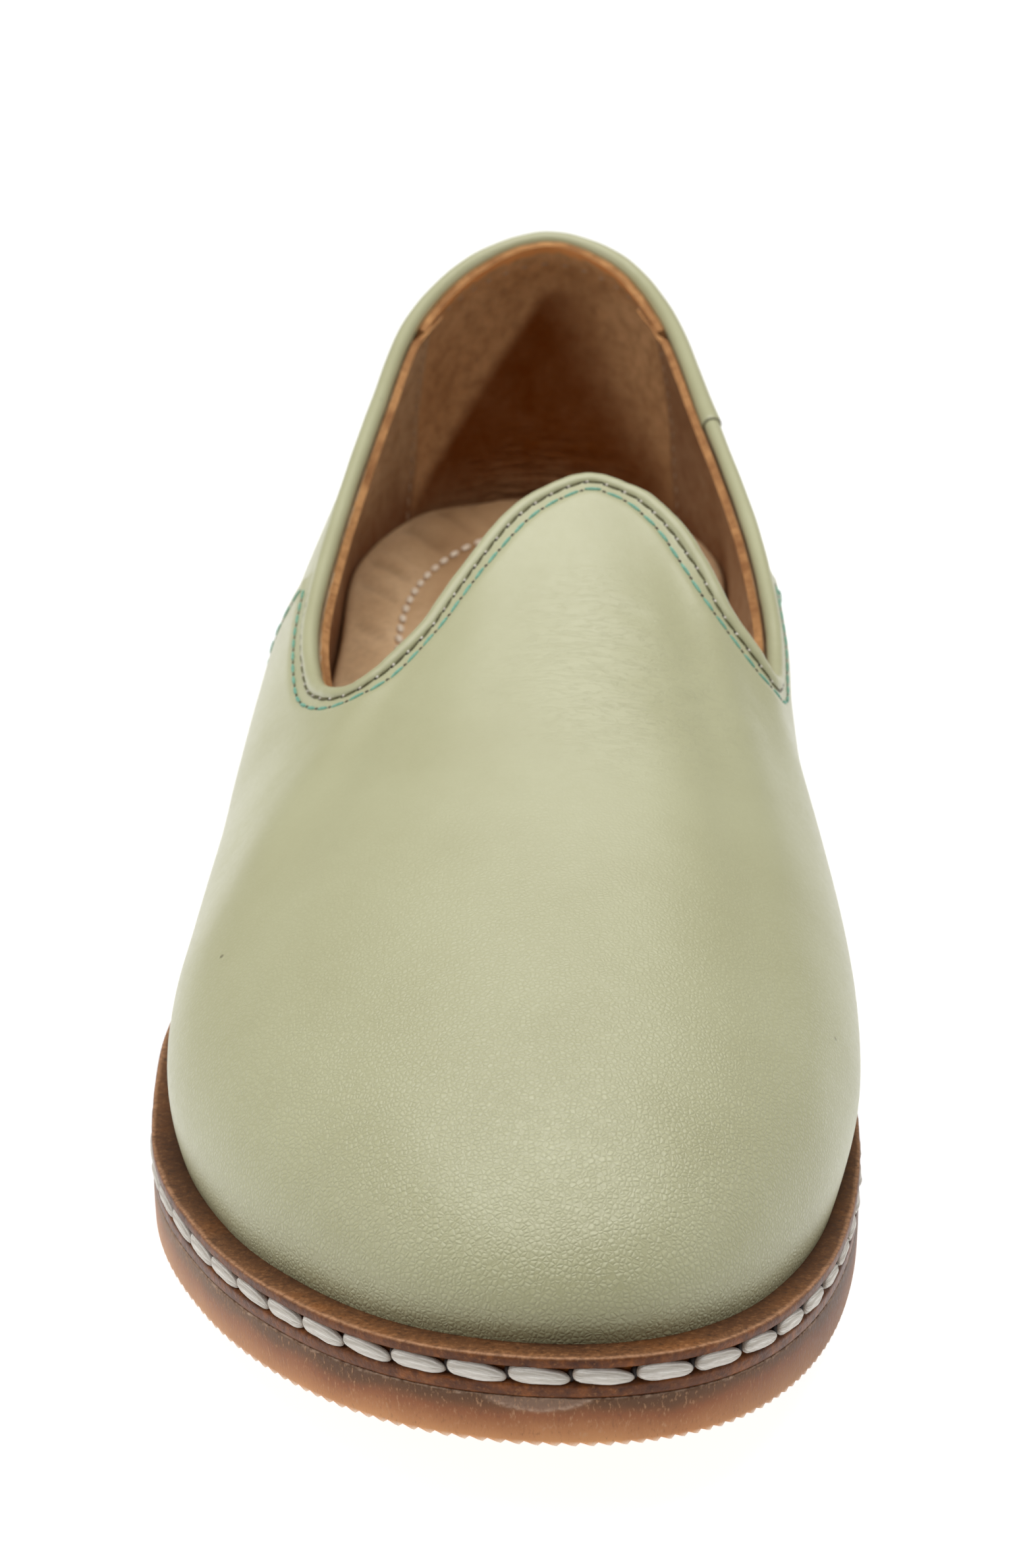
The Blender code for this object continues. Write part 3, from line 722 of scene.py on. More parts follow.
SAGE = sage_leather("sage_leather", tone(180, 179, 143), tone(172, 170, 133))
SAGE_BINDING = sage_leather("sage_binding", tone(178, 177, 140), tone(168, 166, 128))
SAGE_CUT = raw_edge("sage_cut_edge", tone(140, 132, 98), tone(104, 92, 62))
RAW_TAN = raw_edge("raw_tan_edge", tone(186, 136, 86), tone(132, 86, 48))
SIDE_LINING = napped_lining("side_lining", tone(214, 186, 152), tone(190, 162, 128), tone(184, 136, 88))
# Painted light: the heel lining's raw top edge is a lighter tan than the side lining's, for the light falling
# on the heel's top edge.
HEEL_LINING = napped_lining("heel_lining", tone(230, 190, 144), tone(198, 156, 112), tone(240, 172, 108))
FOOTBED = tan_footbed()
WELT = burnished_welt()
GUM = gum_rubber()
WAXED = waxed_thread()
OLIVE_THREAD = sewing_thread("olive_thread", tone(106, 102, 66), tone(76, 72, 44))
TEAL_THREAD = sewing_thread("teal_thread", tone(122, 174, 152), tone(96, 148, 128))
PALE_THREAD = sewing_thread("pale_thread", tone(222, 216, 206), tone(190, 180, 168))
LINING_THREAD = sewing_thread("lining_thread", tone(214, 192, 168), tone(180, 154, 128))
CREAM_THREAD = sewing_thread("cream_thread", tone(250, 238, 218), tone(230, 212, 186))
# Painted shade: dark sunk shapes at the needle holes and between the welt stitches stand in for the shade
# inside the holes.
NEEDLE_HOLE_SHADE = sewing_thread("needle_hole_shade", tone(58, 52, 34), tone(40, 34, 22))
WELT_HOLE_SHADE = sewing_thread("welt_hole_shade", tone(40, 26, 18), tone(26, 16, 10))


# Pieces

def finished(name, shape, slot, *finishes):
    """Named piece made from a shape, smooth, with its finishes, riding on the shoe."""
    for face in shape.faces:
        face.smooth = True
    mesh = bpy.data.meshes.new(name)
    shape.to_mesh(mesh)
    shape.free()
    for finish in finishes:
        mesh.materials.append(finish)
    piece = bpy.data.objects.new(name, mesh)
    bpy.context.scene.collection.objects.link(piece)
    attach(piece, "root")
    return piece


def draped(points, marks=None, flip=False, close=False):
    """Shape made from a flat grid that is laid over a table of points, with numbers kept on its points."""
    columns, rows = points.shape[:2]
    shape = bmesh.new()
    shape.loops.layers.uv.new("cover")
    kept = {name: shape.verts.layers.float.new(name) for name in marks or {}}
    bmesh.ops.create_grid(shape, x_segments=columns - 1, y_segments=rows - 1, size=0.5, calc_uvs=True)
    spots = to_frame(points)
    for vert in shape.verts:
        i = round((vert.co.x + 0.5) * (columns - 1))
        j = round((vert.co.y + 0.5) * (rows - 1))
        vert.co = spots[i, j]
        for name, layer in kept.items():
            vert[layer] = marks[name][i, j]
    if close:
        bmesh.ops.remove_doubles(shape, verts=shape.verts[:], dist=1e-6)
        bmesh.ops.recalc_face_normals(shape, faces=shape.faces[:])
    elif flip:
        bmesh.ops.reverse_faces(shape, faces=shape.faces[:])
    return shape


def walled(piece, thickness, skived=None):
    """Piece given its thickness behind its face, thinner where skived, its cut rim in the second finish."""
    wall = piece.modifiers.new("wall", "SOLIDIFY")
    if skived:
        group = piece.vertex_groups.new(name=skived)
        for number, spot in enumerate(piece.data.attributes[skived].data):
            group.add([number], 1.0 - spot.value, "REPLACE")
        wall.vertex_group = skived
    wall.thickness = thickness * MM
    wall.offset = -1.0
    wall.use_even_offset = False
    wall.use_quality_normals = True
    wall.material_offset_rim = 1
    graph = bpy.context.evaluated_depsgraph_get()
    mesh = bpy.data.meshes.new_from_object(piece.evaluated_get(graph))
    mesh.set_sharp_from_angle(angle=math.radians(50.0))
    mesh.name = piece.name
    piece.modifiers.clear()
    piece.data = mesh
    return piece


def level_line(points, out, below, level):
    """Line over a wall sheet at one distance below the bead, with its outward directions."""
    line = np.zeros((len(points), 3))
    facing = np.zeros((len(points), 3))
    for i in range(len(points)):
        j = np.nonzero(below[i] >= level)[0].max()
        k = min(j + 1, below.shape[1] - 1)
        step = below[i, j] - below[i, k]
        share = (below[i, j] - level) / step if step > 1e-9 else 0.0
        line[i] = points[i, j] * (1.0 - share) + points[i, k] * share
        facing[i] = out[i, j] * (1.0 - share) + out[i, k] * share
    return line, unit(facing)


def paced(line, facing, pitch, phase=0.5):
    """Even steps along a line: places, running directions, outward directions and the true pitch."""
    run = np.append(0.0, np.cumsum(np.linalg.norm(np.diff(line, axis=0), axis=1)))
    count = max(1, int(round(run[-1] / pitch)))
    true_pitch = run[-1] / count
    steps = (np.arange(count) + phase) * true_pitch

    def read(table, wanted):
        return np.stack([np.interp(wanted, run, table[:, k]) for k in range(3)], axis=-1)

    spots = read(line, steps)
    along = unit(read(line, steps + 0.4) - read(line, steps - 0.4))
    return spots, along, unit(read(facing, steps)), true_pitch


def joined_rows(rows):
    """Several (places, running directions, outward directions) rows made one."""
    return [np.concatenate(group) for group in zip(*rows)]


def sewn(name, slot, finish, row, length, size, sides=8, rings=6):
    """Row of small rounded stitches, or holes, lying on a surface."""
    spots, along, facing = row
    width, thick, lift, slant = size
    shape = bmesh.new()
    across = unit(np.cross(facing, along))
    turned = unit(along * math.cos(slant) + across * math.sin(slant))
    across = unit(np.cross(facing, turned))
    centres = to_frame(spots + facing * lift)
    for centre, run, side, out in zip(centres, turned, across, facing):
        columns = (side * 0.5 * width * MM, out * 0.5 * thick * MM, run * 0.5 * length * MM, centre)
        lie = Matrix.Identity(4)
        for c, column in enumerate(columns):
            for r in range(3):
                lie[r][c] = float(column[r])
        bmesh.ops.create_uvsphere(shape, u_segments=sides, v_segments=rings, radius=1.0, matrix=lie)
    bmesh.ops.recalc_face_normals(shape, faces=shape.faces[:])
    return finished(name, shape, slot, finish)


def hand_trim(plan_edge, side, outward, middle, spread_along):
    """Distance that the sole's edge is trimmed outward on one side."""
    return outward * bell((plan_edge[:, 1] - middle) / spread_along) * (side * plan_edge[:, 0] > 0.0)


def sole_points(turn, rows):
    """Rings of a layer of the sole through (inset, height) rows, each a number or a table round the sole."""
    plan_edge = edge_point(turn)
    inward = -edge_normal(turn)
    trim = hand_trim(plan_edge, -1.0, *TRIM_LATERAL) + hand_trim(plan_edge, 1.0, *TRIM_MEDIAL)
    rings = []
    for inset, height in rows:
        inset = inset * np.ones(len(turn))
        inset = inset - trim * smooth(1.0 - inset / TRIM_FADES_BY)
        plan = plan_edge + inward * inset[:, None]
        rings.append(np.column_stack([plan, height + sole_lift(plan[:, 1])]))
    return rings


def closed_down(ring, height, shares):
    """Rows from a ring in to the middle line between its two sides, at a height over the sole's underside."""
    mirrored = np.concatenate([ring[:1], ring[1:-1][::-1], ring[-1:]])
    middle = 0.5 * (ring + mirrored)
    rows = []
    for share in shares:
        row = ring * (1.0 - share) + middle * share
        row[:, 2] = height + sole_lift(row[:, 1])
        rows.append(row)
    return rows


def vamp_relief(points, below):
    """Height of the vamp's dip by the bead, its pressed second row, its creases and its uneven lasting."""
    relief = -VAMP_DIP * smooth(1.0 - (below - EDGE_CLEAR) / (DIP_BAND - EDGE_CLEAR))
    relief -= PRESSED_DEPTH * bell((below - SECOND_ROW_BELOW) / PRESSED_HALF)
    x, y = points[..., 0], points[..., 1]
    for from_x, from_y, to_x, to_y, depth, half in VAMP_CREASES:
        run_x, run_y = to_x - from_x, to_y - from_y
        share = np.clip(((x - from_x) * run_x + (y - from_y) * run_y) / (run_x**2 + run_y**2), 0.0, 1.0)
        away = np.hypot(x - from_x - share * run_x, y - from_y - share * run_y)
        ends = 0.35 + 0.65 * np.sin(math.pi * share)
        relief -= depth * ends * bell(away / half)
        relief += 0.4 * depth * ends * bell((away - 2.1 * half) / half)
    pulled = bell((y - 96.0) / 16.0) * bell((points[..., 2] - 25.0) / 12.0)
    relief -= PULL_IN * smooth((-x - 36.0) / 6.0) * pulled
    relief += waver(x + 0.5 * y, (31.0, 0.05, 0.3), (17.0, 0.03, 2.1)) * waver(y - 0.4 * x, (43.0, 1.0, 1.0))
    return relief


def make_vamp():
    """Front of the upper, lapped over the quarters at the side seams."""
    low_seam, high_seam = seam_places()
    places = np.linspace(high_seam - SECTIONS, low_seam, 301)
    points, out, below = wall_sheet(places, 128, EDGE_CLEAR)
    points = points + out * vamp_relief(points, below)[..., None]
    centre_weight = 0.85 * bell((points[..., 0] - 15.0) / 21.0) * bell((points[..., 1] - 110.0) / 20.0)
    centre_weight *= smooth((points[..., 2] - 30.0) / 10.0)
    shape = draped(points, {"crease": centre_weight}, flip=True)
    vamp = walled(finished("vamp", shape, "upper", SAGE, SAGE_CUT), VAMP_THICK)
    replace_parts(vamp, "upper")
    return places, points, out, below


def make_quarters():
    """Back of the upper round the heel, set back under the vamp's lapped edge."""
    low_seam, high_seam = seam_places()
    places = np.linspace(low_seam - UNDERLAP, high_seam + UNDERLAP, 201)
    points, out, below = wall_sheet(places, 64, EDGE_CLEAR + 0.1)
    dip = QUARTER_DIP * smooth(1.0 - (below - EDGE_CLEAR) / (DIP_BAND - EDGE_CLEAR))
    points = points - out * (QUARTER_SET_BACK + dip)[..., None]
    shape = draped(points, {"crease": np.zeros(points.shape[:2])}, flip=True)
    quarters = walled(finished("quarters", shape, "upper", SAGE, SAGE_CUT), QUARTER_THICK)
    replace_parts(quarters, "upper")
    return places, points, out, below


def lining_points(places, rows):
    """Foot side of the lining, bulging inward near the collar so its cut edge stands beside the bead."""
    points, out, below = wall_sheet(places, rows, LINING_CLEAR)
    axis, rim_out, rim_up = rim_at(places)
    end = axis + rim_out * WALL_MIDDLE
    for rise in (0.0, 0.5 * LINING_TOP, LINING_TOP):
        points = np.concatenate([points, (end + rim_up * rise)[:, None]], axis=1)
        out = np.concatenate([out, rim_out[:, None]], axis=1)
        below = np.concatenate([below, np.full((len(places), 1), -rise)], axis=1)
    inset = LINING_INSET + LINING_BULGE * smooth(1.0 - (below + LINING_TOP) / LINING_BULGE_BAND)
    return points, out, below, inset


def make_side_lining():
    """Lining of the vamp and both sides, its slanted, skived ends lapped over the heel lining and sewn."""
    columns, rows = 321, 52
    spare = 0.75
    wall_high = 40.0
    places = np.linspace(SIDE_LINING_FROM - spare, SECTIONS + SIDE_LINING_TO + spare, columns)
    table = lining_points(places, rows)
    depth = np.clip(table[2].mean(axis=0) / wall_high, 0.0, 1.0)
    start = SIDE_LINING_FROM - MEDIAL_SLANT * depth**0.6
    finish = SECTIONS + SIDE_LINING_TO + LATERAL_SLANT * depth**0.6
    cut = np.linspace(start, finish, columns)
    points, out, below, inset = (np.zeros_like(found) for found in table)
    for j in range(cut.shape[1]):
        for found, kept in ((table[0], points), (table[1], out)):
            for k in range(3):
                kept[:, j, k] = np.interp(cut[:, j], places, found[:, j, k])
        below[:, j] = np.interp(cut[:, j], places, table[2][:, j])
        inset[:, j] = np.interp(cut[:, j], places, table[3][:, j])
    out = unit(out)
    from_start = (cut - start) * SECTION_PITCH
    from_finish = (finish - cut) * SECTION_PITCH
    lapped = np.maximum(smooth((HEEL_LINING_TO + LAP_CLEAR - cut) / LAP_BAND),
                        smooth((cut - SECTIONS - HEEL_LINING_FROM + LAP_CLEAR) / LAP_BAND))
    over = (LINING_THICK * (1.0 - SKIVED_SHARE) + LAP_GAP) * lapped
    run = cut[:, -1] * SECTION_PITCH
    ragged = waver(run, (17.0, 0.06, 0.4), (7.3, 0.04, 1.9), (3.1, 0.02, 0.8))
    points = points - out * (inset + over)[..., None]
    points[:, -2:] -= np.array([0.0, 0.0, 1.0]) * (0.1 + ragged)[:, None, None]
    tuck = END_TUCK * np.maximum(smooth((9.0 - from_start) / 7.0), smooth((7.0 - from_finish) / 6.0))
    points[..., 2] -= tuck * smooth(1.0 - (below + LINING_TOP) / LINING_BULGE_BAND)
    raw = smooth(1.0 - (below + LINING_TOP) / RAW_BAND_SIDE) * (1.0 - 0.5 * lapped)
    # Painted shade: the lining is darker low down by the footbed and towards the medial side.
    shade_by_footbed = 0.72 * smooth((36.0 - points[..., 2]) / 15.0)
    medial_shade = 0.5 * smooth((points[..., 0] - 5.0) / 10.0)
    marks = {"raw": raw, "painted_shade": np.maximum(medial_shade, shade_by_footbed), "rucked": np.zeros(raw.shape),
             "skived": SKIVED_SHARE * lapped}
    shape = draped(points, marks)
    lining = walled(finished("side_lining", shape, "upper", SIDE_LINING, RAW_TAN), LINING_THICK, "skived")
    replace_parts(lining, "upper")
    sewn_rows = []
    for from_end in (from_start[:, -1], from_finish[:, -1]):
        i = int(np.argmin(np.abs(from_end - SIDE_LINING_ROW_IN)))
        low = (below[i] >= SIDE_LINING_ROW_BELOW) & (points[i, :, 2] > SIDE_LINING_ROW_FOOT)
        sewn_rows.append(paced(points[i][low], -out[i][low], SIDE_LINING_PITCH)[:3])
    sewn("side_lining_stitches", "upper", LINING_THREAD, joined_rows(sewn_rows), 1.5, SIDE_LINING_STITCH)


def make_heel_lining():
    """Lining round the heel, darkened down its middle by painted shade, its top sewn through with pale
    thread.
    """
    places = np.linspace(HEEL_LINING_FROM, HEEL_LINING_TO, 141)
    points, out, below, inset = lining_points(places, 64)
    run = places * SECTION_PITCH
    ragged = waver(run, (19.0, 0.07, 0.9), (8.1, 0.04, 0.2))
    points = points - out * inset[..., None]
    points[:, -2:] -= np.array([0.0, 0.0, 1.0]) * (0.05 + ragged)[:, None, None]
    raw = smooth(1.0 - (below + LINING_TOP) / RAW_BAND_HEEL)
    x, z = points[..., 0], points[..., 2]
    # Painted shade: a dark wedge down the middle of the heel, widening downward and easing off low down.
    shade_top = 60.0
    down = np.clip(shade_top - z, 0.0, None)
    left = smooth((x - (2.0 - 0.66 * down)) / 3.6 + 0.5)
    right = smooth(((3.5 + 0.36 * down + 0.006 * down**2) - x) / 15.0 + 0.5)
    painted_shade = left * right * smooth(down / 3.0) * (1.0 - 0.3 * smooth((30.0 - z) / 10.0))
    rucked = bell(x / 13.0) * smooth((40.0 - z) / 14.0)
    shape = draped(points, {"raw": raw, "painted_shade": 0.92 * painted_shade, "rucked": rucked})
    lining = walled(finished("heel_lining", shape, "upper", HEEL_LINING, RAW_TAN), LINING_THICK)
    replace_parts(lining, "upper")
    sewn_part = (slice(14, -14), slice(None, -3))
    line, facing = level_line(points[sewn_part], -out[sewn_part], below[sewn_part], HEEL_LINING_ROW_BELOW)
    row = paced(line, facing, HEEL_LINING_PITCH)[:3]
    sewn("heel_lining_stitches", "upper", LINING_THREAD, row, 1.2, HEEL_LINING_STITCH)


def make_collar_roll():
    """Rolled leather strip round the collar and throat, its fatter end lying over its start at the joint."""
    count = 901
    places = np.linspace(JOINT_PLACE - 0.04, JOINT_PLACE + SECTIONS + 0.03, count)
    axis, out, _ = rim_at(places)
    sizes = np.array(BEAD_SIZES)
    radius = np.interp(places, sizes[:, 0], sizes[:, 1])
    run = places * SECTION_PITCH
    radius = radius + waver(run, (23.0, 0.025, 0.5), (9.0, 0.015, 2.0))
    along = unit(np.gradient(axis, axis=0))
    out = unit(out - along * np.sum(out * along, axis=1, keepdims=True))
    lift = np.cross(along, out)
    centre = axis + out * BEAD_OUTWARD
    tip_sizes = np.array([0.0, 0.5, 0.86])
    tip_steps = np.array([0.3, 0.28, 0.2])
    start = [np.repeat(table[:1], len(tip_sizes), axis=0) for table in (centre, out, lift)]
    finish = [np.repeat(table[-1:], len(tip_sizes), axis=0) for table in (centre, out, lift)]
    start[0] = start[0] - along[:1] * tip_steps[:, None]
    finish[0] = finish[0] + along[-1:] * tip_steps[::-1, None]
    centre, out, lift = (np.concatenate(parts) for parts in zip(start, (centre, out, lift), finish))
    radius = np.concatenate([radius[0] * tip_sizes, radius, radius[-1] * tip_sizes[::-1]])
    # Painted shadow: the cap at the overlapping end is marked to be coloured dark, for the shade of the gap
    # at the joint.
    cut = np.concatenate([np.zeros(len(tip_sizes) + count), np.ones(len(tip_sizes))])
    angle = np.linspace(0.0, FULL_TURN, 19)
    round_out = np.cos(angle)[None, :, None] * out[:, None] + np.sin(angle)[None, :, None] * lift[:, None]
    points = centre[:, None] + radius[:, None, None] * round_out
    marks = {"crease": np.zeros(points.shape[:2]), "cut": np.repeat(cut[:, None], len(angle), axis=1)}
    roll = finished("collar_roll", draped(points, marks, close=True), "collar_binding", SAGE_BINDING)
    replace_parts(roll, "collar_binding")


def make_collar_stitches(vamp, quarters):
    """Olive stitches in the furrow under the roll, with pale thread at the holes, all round the collar."""
    knot_before_hole = 0.32
    for name, sheet, inside in (("vamp", vamp, slice(None)), ("quarter", quarters, slice(5, -5))):
        line, facing = level_line(*(table[inside] for table in sheet[1:]), BINDING_ROW_BELOW)
        *row, pitch = paced(line, facing, BINDING_PITCH)
        length = pitch * BINDING_FILL
        sewn(name + "_binding_stitches", "collar_binding", OLIVE_THREAD, row, length, BINDING_STITCH)
        spots, along, outward = holes = paced(line, facing, BINDING_PITCH, 0.0)[:3]
        # Painted shade: dark shapes at the holes.
        sewn(name + "_binding_holes", "collar_binding", NEEDLE_HOLE_SHADE, holes, 0.62, BINDING_HOLE)
        knots = (spots - along * knot_before_hole, along, outward)
        sewn(name + "_binding_knots", "collar_binding", PALE_THREAD, knots, 0.46, BINDING_KNOT, 6, 4)


def make_second_row(vamp):
    """Teal stitches below the binding, turning down along the vamp's lapped edges."""
    places, points, out, below = vamp
    inside = (places > places[0] + SEAM_ROW_IN) & (places < places[-1] - SEAM_ROW_IN)
    line, facing = level_line(points[inside], out[inside], below[inside], SECOND_ROW_BELOW)
    rows = [(line, facing)]
    for place in (places[0] + SEAM_ROW_IN, places[-1] - SEAM_ROW_IN):
        i = int(np.argmin(np.abs(places - place)))
        low = below[i] >= SECOND_ROW_BELOW
        rows.append((points[i][low][2:], out[i][low][2:]))
    stitches = joined_rows([paced(line, facing, SECOND_ROW_PITCH)[:3] for line, facing in rows])
    holes = joined_rows([paced(line, facing, SECOND_ROW_PITCH, 0.0)[:3] for line, facing in rows])
    length = SECOND_ROW_PITCH * SECOND_ROW_FILL
    sewn("second_row", "upper", TEAL_THREAD, stitches, length, SECOND_ROW_STITCH)
    # Painted shade: dark shapes at the holes.
    sewn("second_row_holes", "upper", NEEDLE_HOLE_SHADE, holes, 0.6, SECOND_ROW_HOLE)


def make_outsole():
    """Gum outsole with a toothed lower edge."""
    teeth = 288
    notch_steps = (0.0, 0.12, 0.34, 0.52)
    per_tooth = len(notch_steps)
    turn_fine = np.linspace(0.0, FULL_TURN, 20001)
    edge = edge_point(turn_fine)
    run = np.append(0.0, np.cumsum(np.linalg.norm(np.diff(edge, axis=0), axis=1)))
    half = np.interp(math.pi, turn_fine, run)
    columns = teeth * per_tooth
    share = np.linspace(0.0, 1.0, columns // 2 + 1)
    one_side = np.interp(share * half, run, turn_fine)
    turn = np.concatenate([one_side, FULL_TURN - one_side[::-1][1:]])
    turn[-1] = FULL_TURN
    step = np.arange(columns + 1) % per_tooth
    notch = np.choose(step, notch_steps)
    top = OUTSOLE_THICK + SEAT
    side = (6.45, 6.2, 5.9, 5.6, 5.3, 5.0, 4.7, 4.4, 4.0, 3.4, 2.8, 2.2, 1.6, 1.1, 0.75)
    bulge = 0.06
    upper_edge = [(7.0, top), (0.5, top), (0.1, top - 0.06)]
    swell = [(-bulge * math.sin(math.pi * height / top), height) for height in side]
    lower_edge = [(0.12, notch), (1.6, 0.8 * notch), (3.2, 0.0), (8.0, 0.0)]
    rings = sole_points(turn, upper_edge + swell + lower_edge)
    top_rows = closed_down(rings[0], top, (1.0, 0.5))
    low_rows = closed_down(rings[-1], 0.0, (0.33, 0.66, 1.0))
    points = np.stack(top_rows + rings + low_rows, axis=1)
    side_from = len(top_rows) + len(upper_edge)
    tooth_row = side_from + len(side)
    heights = np.array([top] * side_from + list(side) + [0.0] * (points.shape[1] - tooth_row))
    rise = np.tile(heights / top, (len(turn), 1))
    run_at = np.linspace(0.0, 1.0, len(turn)) * run[-1]
    lip = 0.16 + waver(run_at, (11.0, 0.05, 0.3), (4.3, 0.05, 1.2), (1.9, 0.04, 2.2))
    glue = smooth((rise * top - (top - lip[:, None])) / 0.25 + 0.5)
    spill = 1.75 * np.clip(1.0 - ((points[..., 0] + 0.4) / 6.6) ** 2, 0.0, None) * (points[..., 1] < 30.0)
    depth = top - rise * top
    smear = smooth((spill - depth) / 0.3 + 0.5) * (spill > 0.0)
    line = bell((spill - depth) / 0.22) * (spill > 0.25)
    glue = np.clip(glue + 0.7 * line, 0.0, 1.0)
    under = np.zeros_like(rise)
    under[:, tooth_row + 2:] = 1.0
    # Painted highlight on the first steps of each tooth along the lower edge.
    tooth_highlight = np.zeros_like(rise)
    tooth_highlight[:, tooth_row] = np.where(step == 0, 0.8, np.where(step == 1, 0.4, 0.0))
    marks = {"rise": rise, "under": under, "tooth_highlight": tooth_highlight, "glue": glue, "smear": smear}
    shape = draped(points, marks, close=True)
    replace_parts(finished("gum_outsole", shape, "outsole", GUM), "outsole")


def make_midsole():
    """Leather midsole with a rounded welt edge and a sewn channel round its side."""
    columns = WELT_STITCHES * 10
    turn = np.linspace(0.0, FULL_TURN, columns + 1)
    channel = MIDSOLE_TOP - CHANNEL_DROP
    mean_radius = 97.0
    run = turn * mean_radius
    wander = waver(run, (37.0, 0.10, 0.2), (13.0, 0.06, 1.4), (5.3, 0.04, 0.6))
    wander[-1] = wander[0]
    rows = [(12.0, MIDSOLE_BASE), (0.6, MIDSOLE_BASE), (0.12, MIDSOLE_BASE + 0.08), (0.0, MIDSOLE_BASE + 0.3)]
    rows += [(0.0, channel - 1.6), (0.0, channel - 1.32), (0.15, channel - 1.14), (0.7, channel - 0.96)]
    rows += [(0.95, channel - 0.5), (0.95, channel + 0.5), (0.7, channel + 0.96), (0.15, channel + 1.14)]
    rows += [(0.0, channel + 1.32), (0.0, MIDSOLE_TOP - 0.42), (0.02 + 0.3 * wander, MIDSOLE_TOP - 0.24)]
    rows += [(0.09 + 0.4 * wander, MIDSOLE_TOP - 0.09), (0.24 + 0.6 * wander, MIDSOLE_TOP - 0.01)]
    rows += [(0.7 + wander, MIDSOLE_TOP + 0.03)]
    rows += [(1.6, MIDSOLE_TOP + 0.05), (2.6, MIDSOLE_TOP + 0.03), (5.0, MIDSOLE_TOP), (12.0, MIDSOLE_TOP)]
    rings = sole_points(turn, rows)
    low_rows = closed_down(rings[0], MIDSOLE_BASE, (1.0, 0.5))
    top_rows = closed_down(rings[-1], MIDSOLE_TOP, (0.5, 1.0))
    points = np.stack(low_rows + rings + top_rows, axis=1)
    side, edge_highlight, inner = (np.zeros(points.shape[:2]) for _ in range(3))
    side_row, highlight_row, ledge_row = 4, 16, 20
    side[:, side_row:highlight_row + 2] = 1.0
    # Painted highlight on the rows of the rounded top edge.
    edge_highlight[:, highlight_row:ledge_row] = (0.1, 0.55, 0.95, 0.1)
    # Painted shade on the ledge's top, rising from its rounded edge in towards the upper.
    inner[:, ledge_row:] = (0.2, 0.75, 1.0, 1.0, 1.0, 1.0)
    shape = draped(points, {"side": side, "edge_highlight": edge_highlight, "inner": inner}, close=True)
    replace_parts(finished("leather_midsole", shape, "midsole", WELT), "midsole")


def make_welt_stitches():
    """Thick waxed stitches lying end to end in the midsole's channel, with dark shapes between them as
    painted shade in the holes.
    """
    turn = np.linspace(0.0, FULL_TURN, 8001)
    sunk = 0.5
    line = sole_points(turn, [(sunk, MIDSOLE_TOP - CHANNEL_DROP)])[0]
    normal = edge_normal(turn)
    facing = np.column_stack([normal, np.zeros(len(turn))])
    first = 0.07
    half_high, half_deep, fill = 1.13, 0.74, 0.985
    spots, along, facing_at, pitch = paced(line, facing, line_length(line) / WELT_STITCHES, 0.5 + first)
    shape = bmesh.new()
    shape.loops.layers.uv.new("cover")
    end = shape.verts.layers.float.new("end")
    tilt = math.radians(6.5)
    centres = to_frame(spots)
    for number, (centre, run, out) in enumerate(zip(centres, along, facing_at)):
        up = unit(np.cross(run, out))
        lean = tilt + 0.03 * math.sin(2.3 * number)
        forward = unit(run * math.cos(lean) + up * math.sin(lean))
        upright = unit(np.cross(forward, out))
        plump = 1.0 + 0.07 * math.sin(1.7 * number + 0.4)
        made = bmesh.ops.create_uvsphere(shape, u_segments=14, v_segments=14, radius=1.0, calc_uvs=True)
        for vert in made["verts"]:
            x, y, z = vert.co
            ring = math.sqrt(max(0.0, 1.0 - z * z))
            blunt = 4.6 if z > 0.0 else 2.9 + 0.5 * math.sin(3.1 * number)
            reach = z * (1.0 + 0.35 * (1.0 - abs(z)))
            fuller = max(0.0, 1.0 - abs(reach) ** blunt) ** 0.5 * (1.0 + 0.13 * z) / max(ring, 1e-6)
            around = math.atan2(y, x)
            ragged = 1.0 + 0.05 * math.sin(5.0 * around + 3.0 * z + number)
            ragged += 0.04 * math.sin(7.0 * z + 2.3 * number)
            place = upright * (x * fuller * ragged * half_high * plump)
            place = place + out * (y * fuller * ragged * half_deep)
            place = place + forward * (reach * 0.5 * pitch * fill)
            vert.co = place * MM + centre
            vert[end] = max(0.0, (abs(reach) - 0.88) / 0.12) ** 1.5 * 0.7
    bmesh.ops.recalc_face_normals(shape, faces=shape.faces[:])
    finished("welt_stitches", shape, "midsole", WAXED)
    row = paced(line, facing, pitch, first)[:3]
    sewn("welt_stitch_holes", "midsole", WELT_HOLE_SHADE, row, 0.9, WELT_GAP, 10, 6)


def line_length(line):
    """Length of a run of points."""
    return float(np.linalg.norm(np.diff(line, axis=0), axis=1).sum())


def insole_thickness(y):
    """Footbed thickness: thin under the ball, padded under the heel."""
    share = (y - HEEL_PAD_FRONT) / (HEEL_PAD_BACK - HEEL_PAD_FRONT)
    return INSOLE_FRONT + (INSOLE_HEEL - INSOLE_FRONT) * smooth(share)


def pad_line_share(x, y):
    """Where a footbed point lies against the heel pad's sewn line: under 1 inside it, over 1 outside."""
    return np.hypot(x / PAD_HALF_WIDE, np.clip(y - PAD_ROUND_FROM, 0.0, None) / PAD_ROUND_LONG)


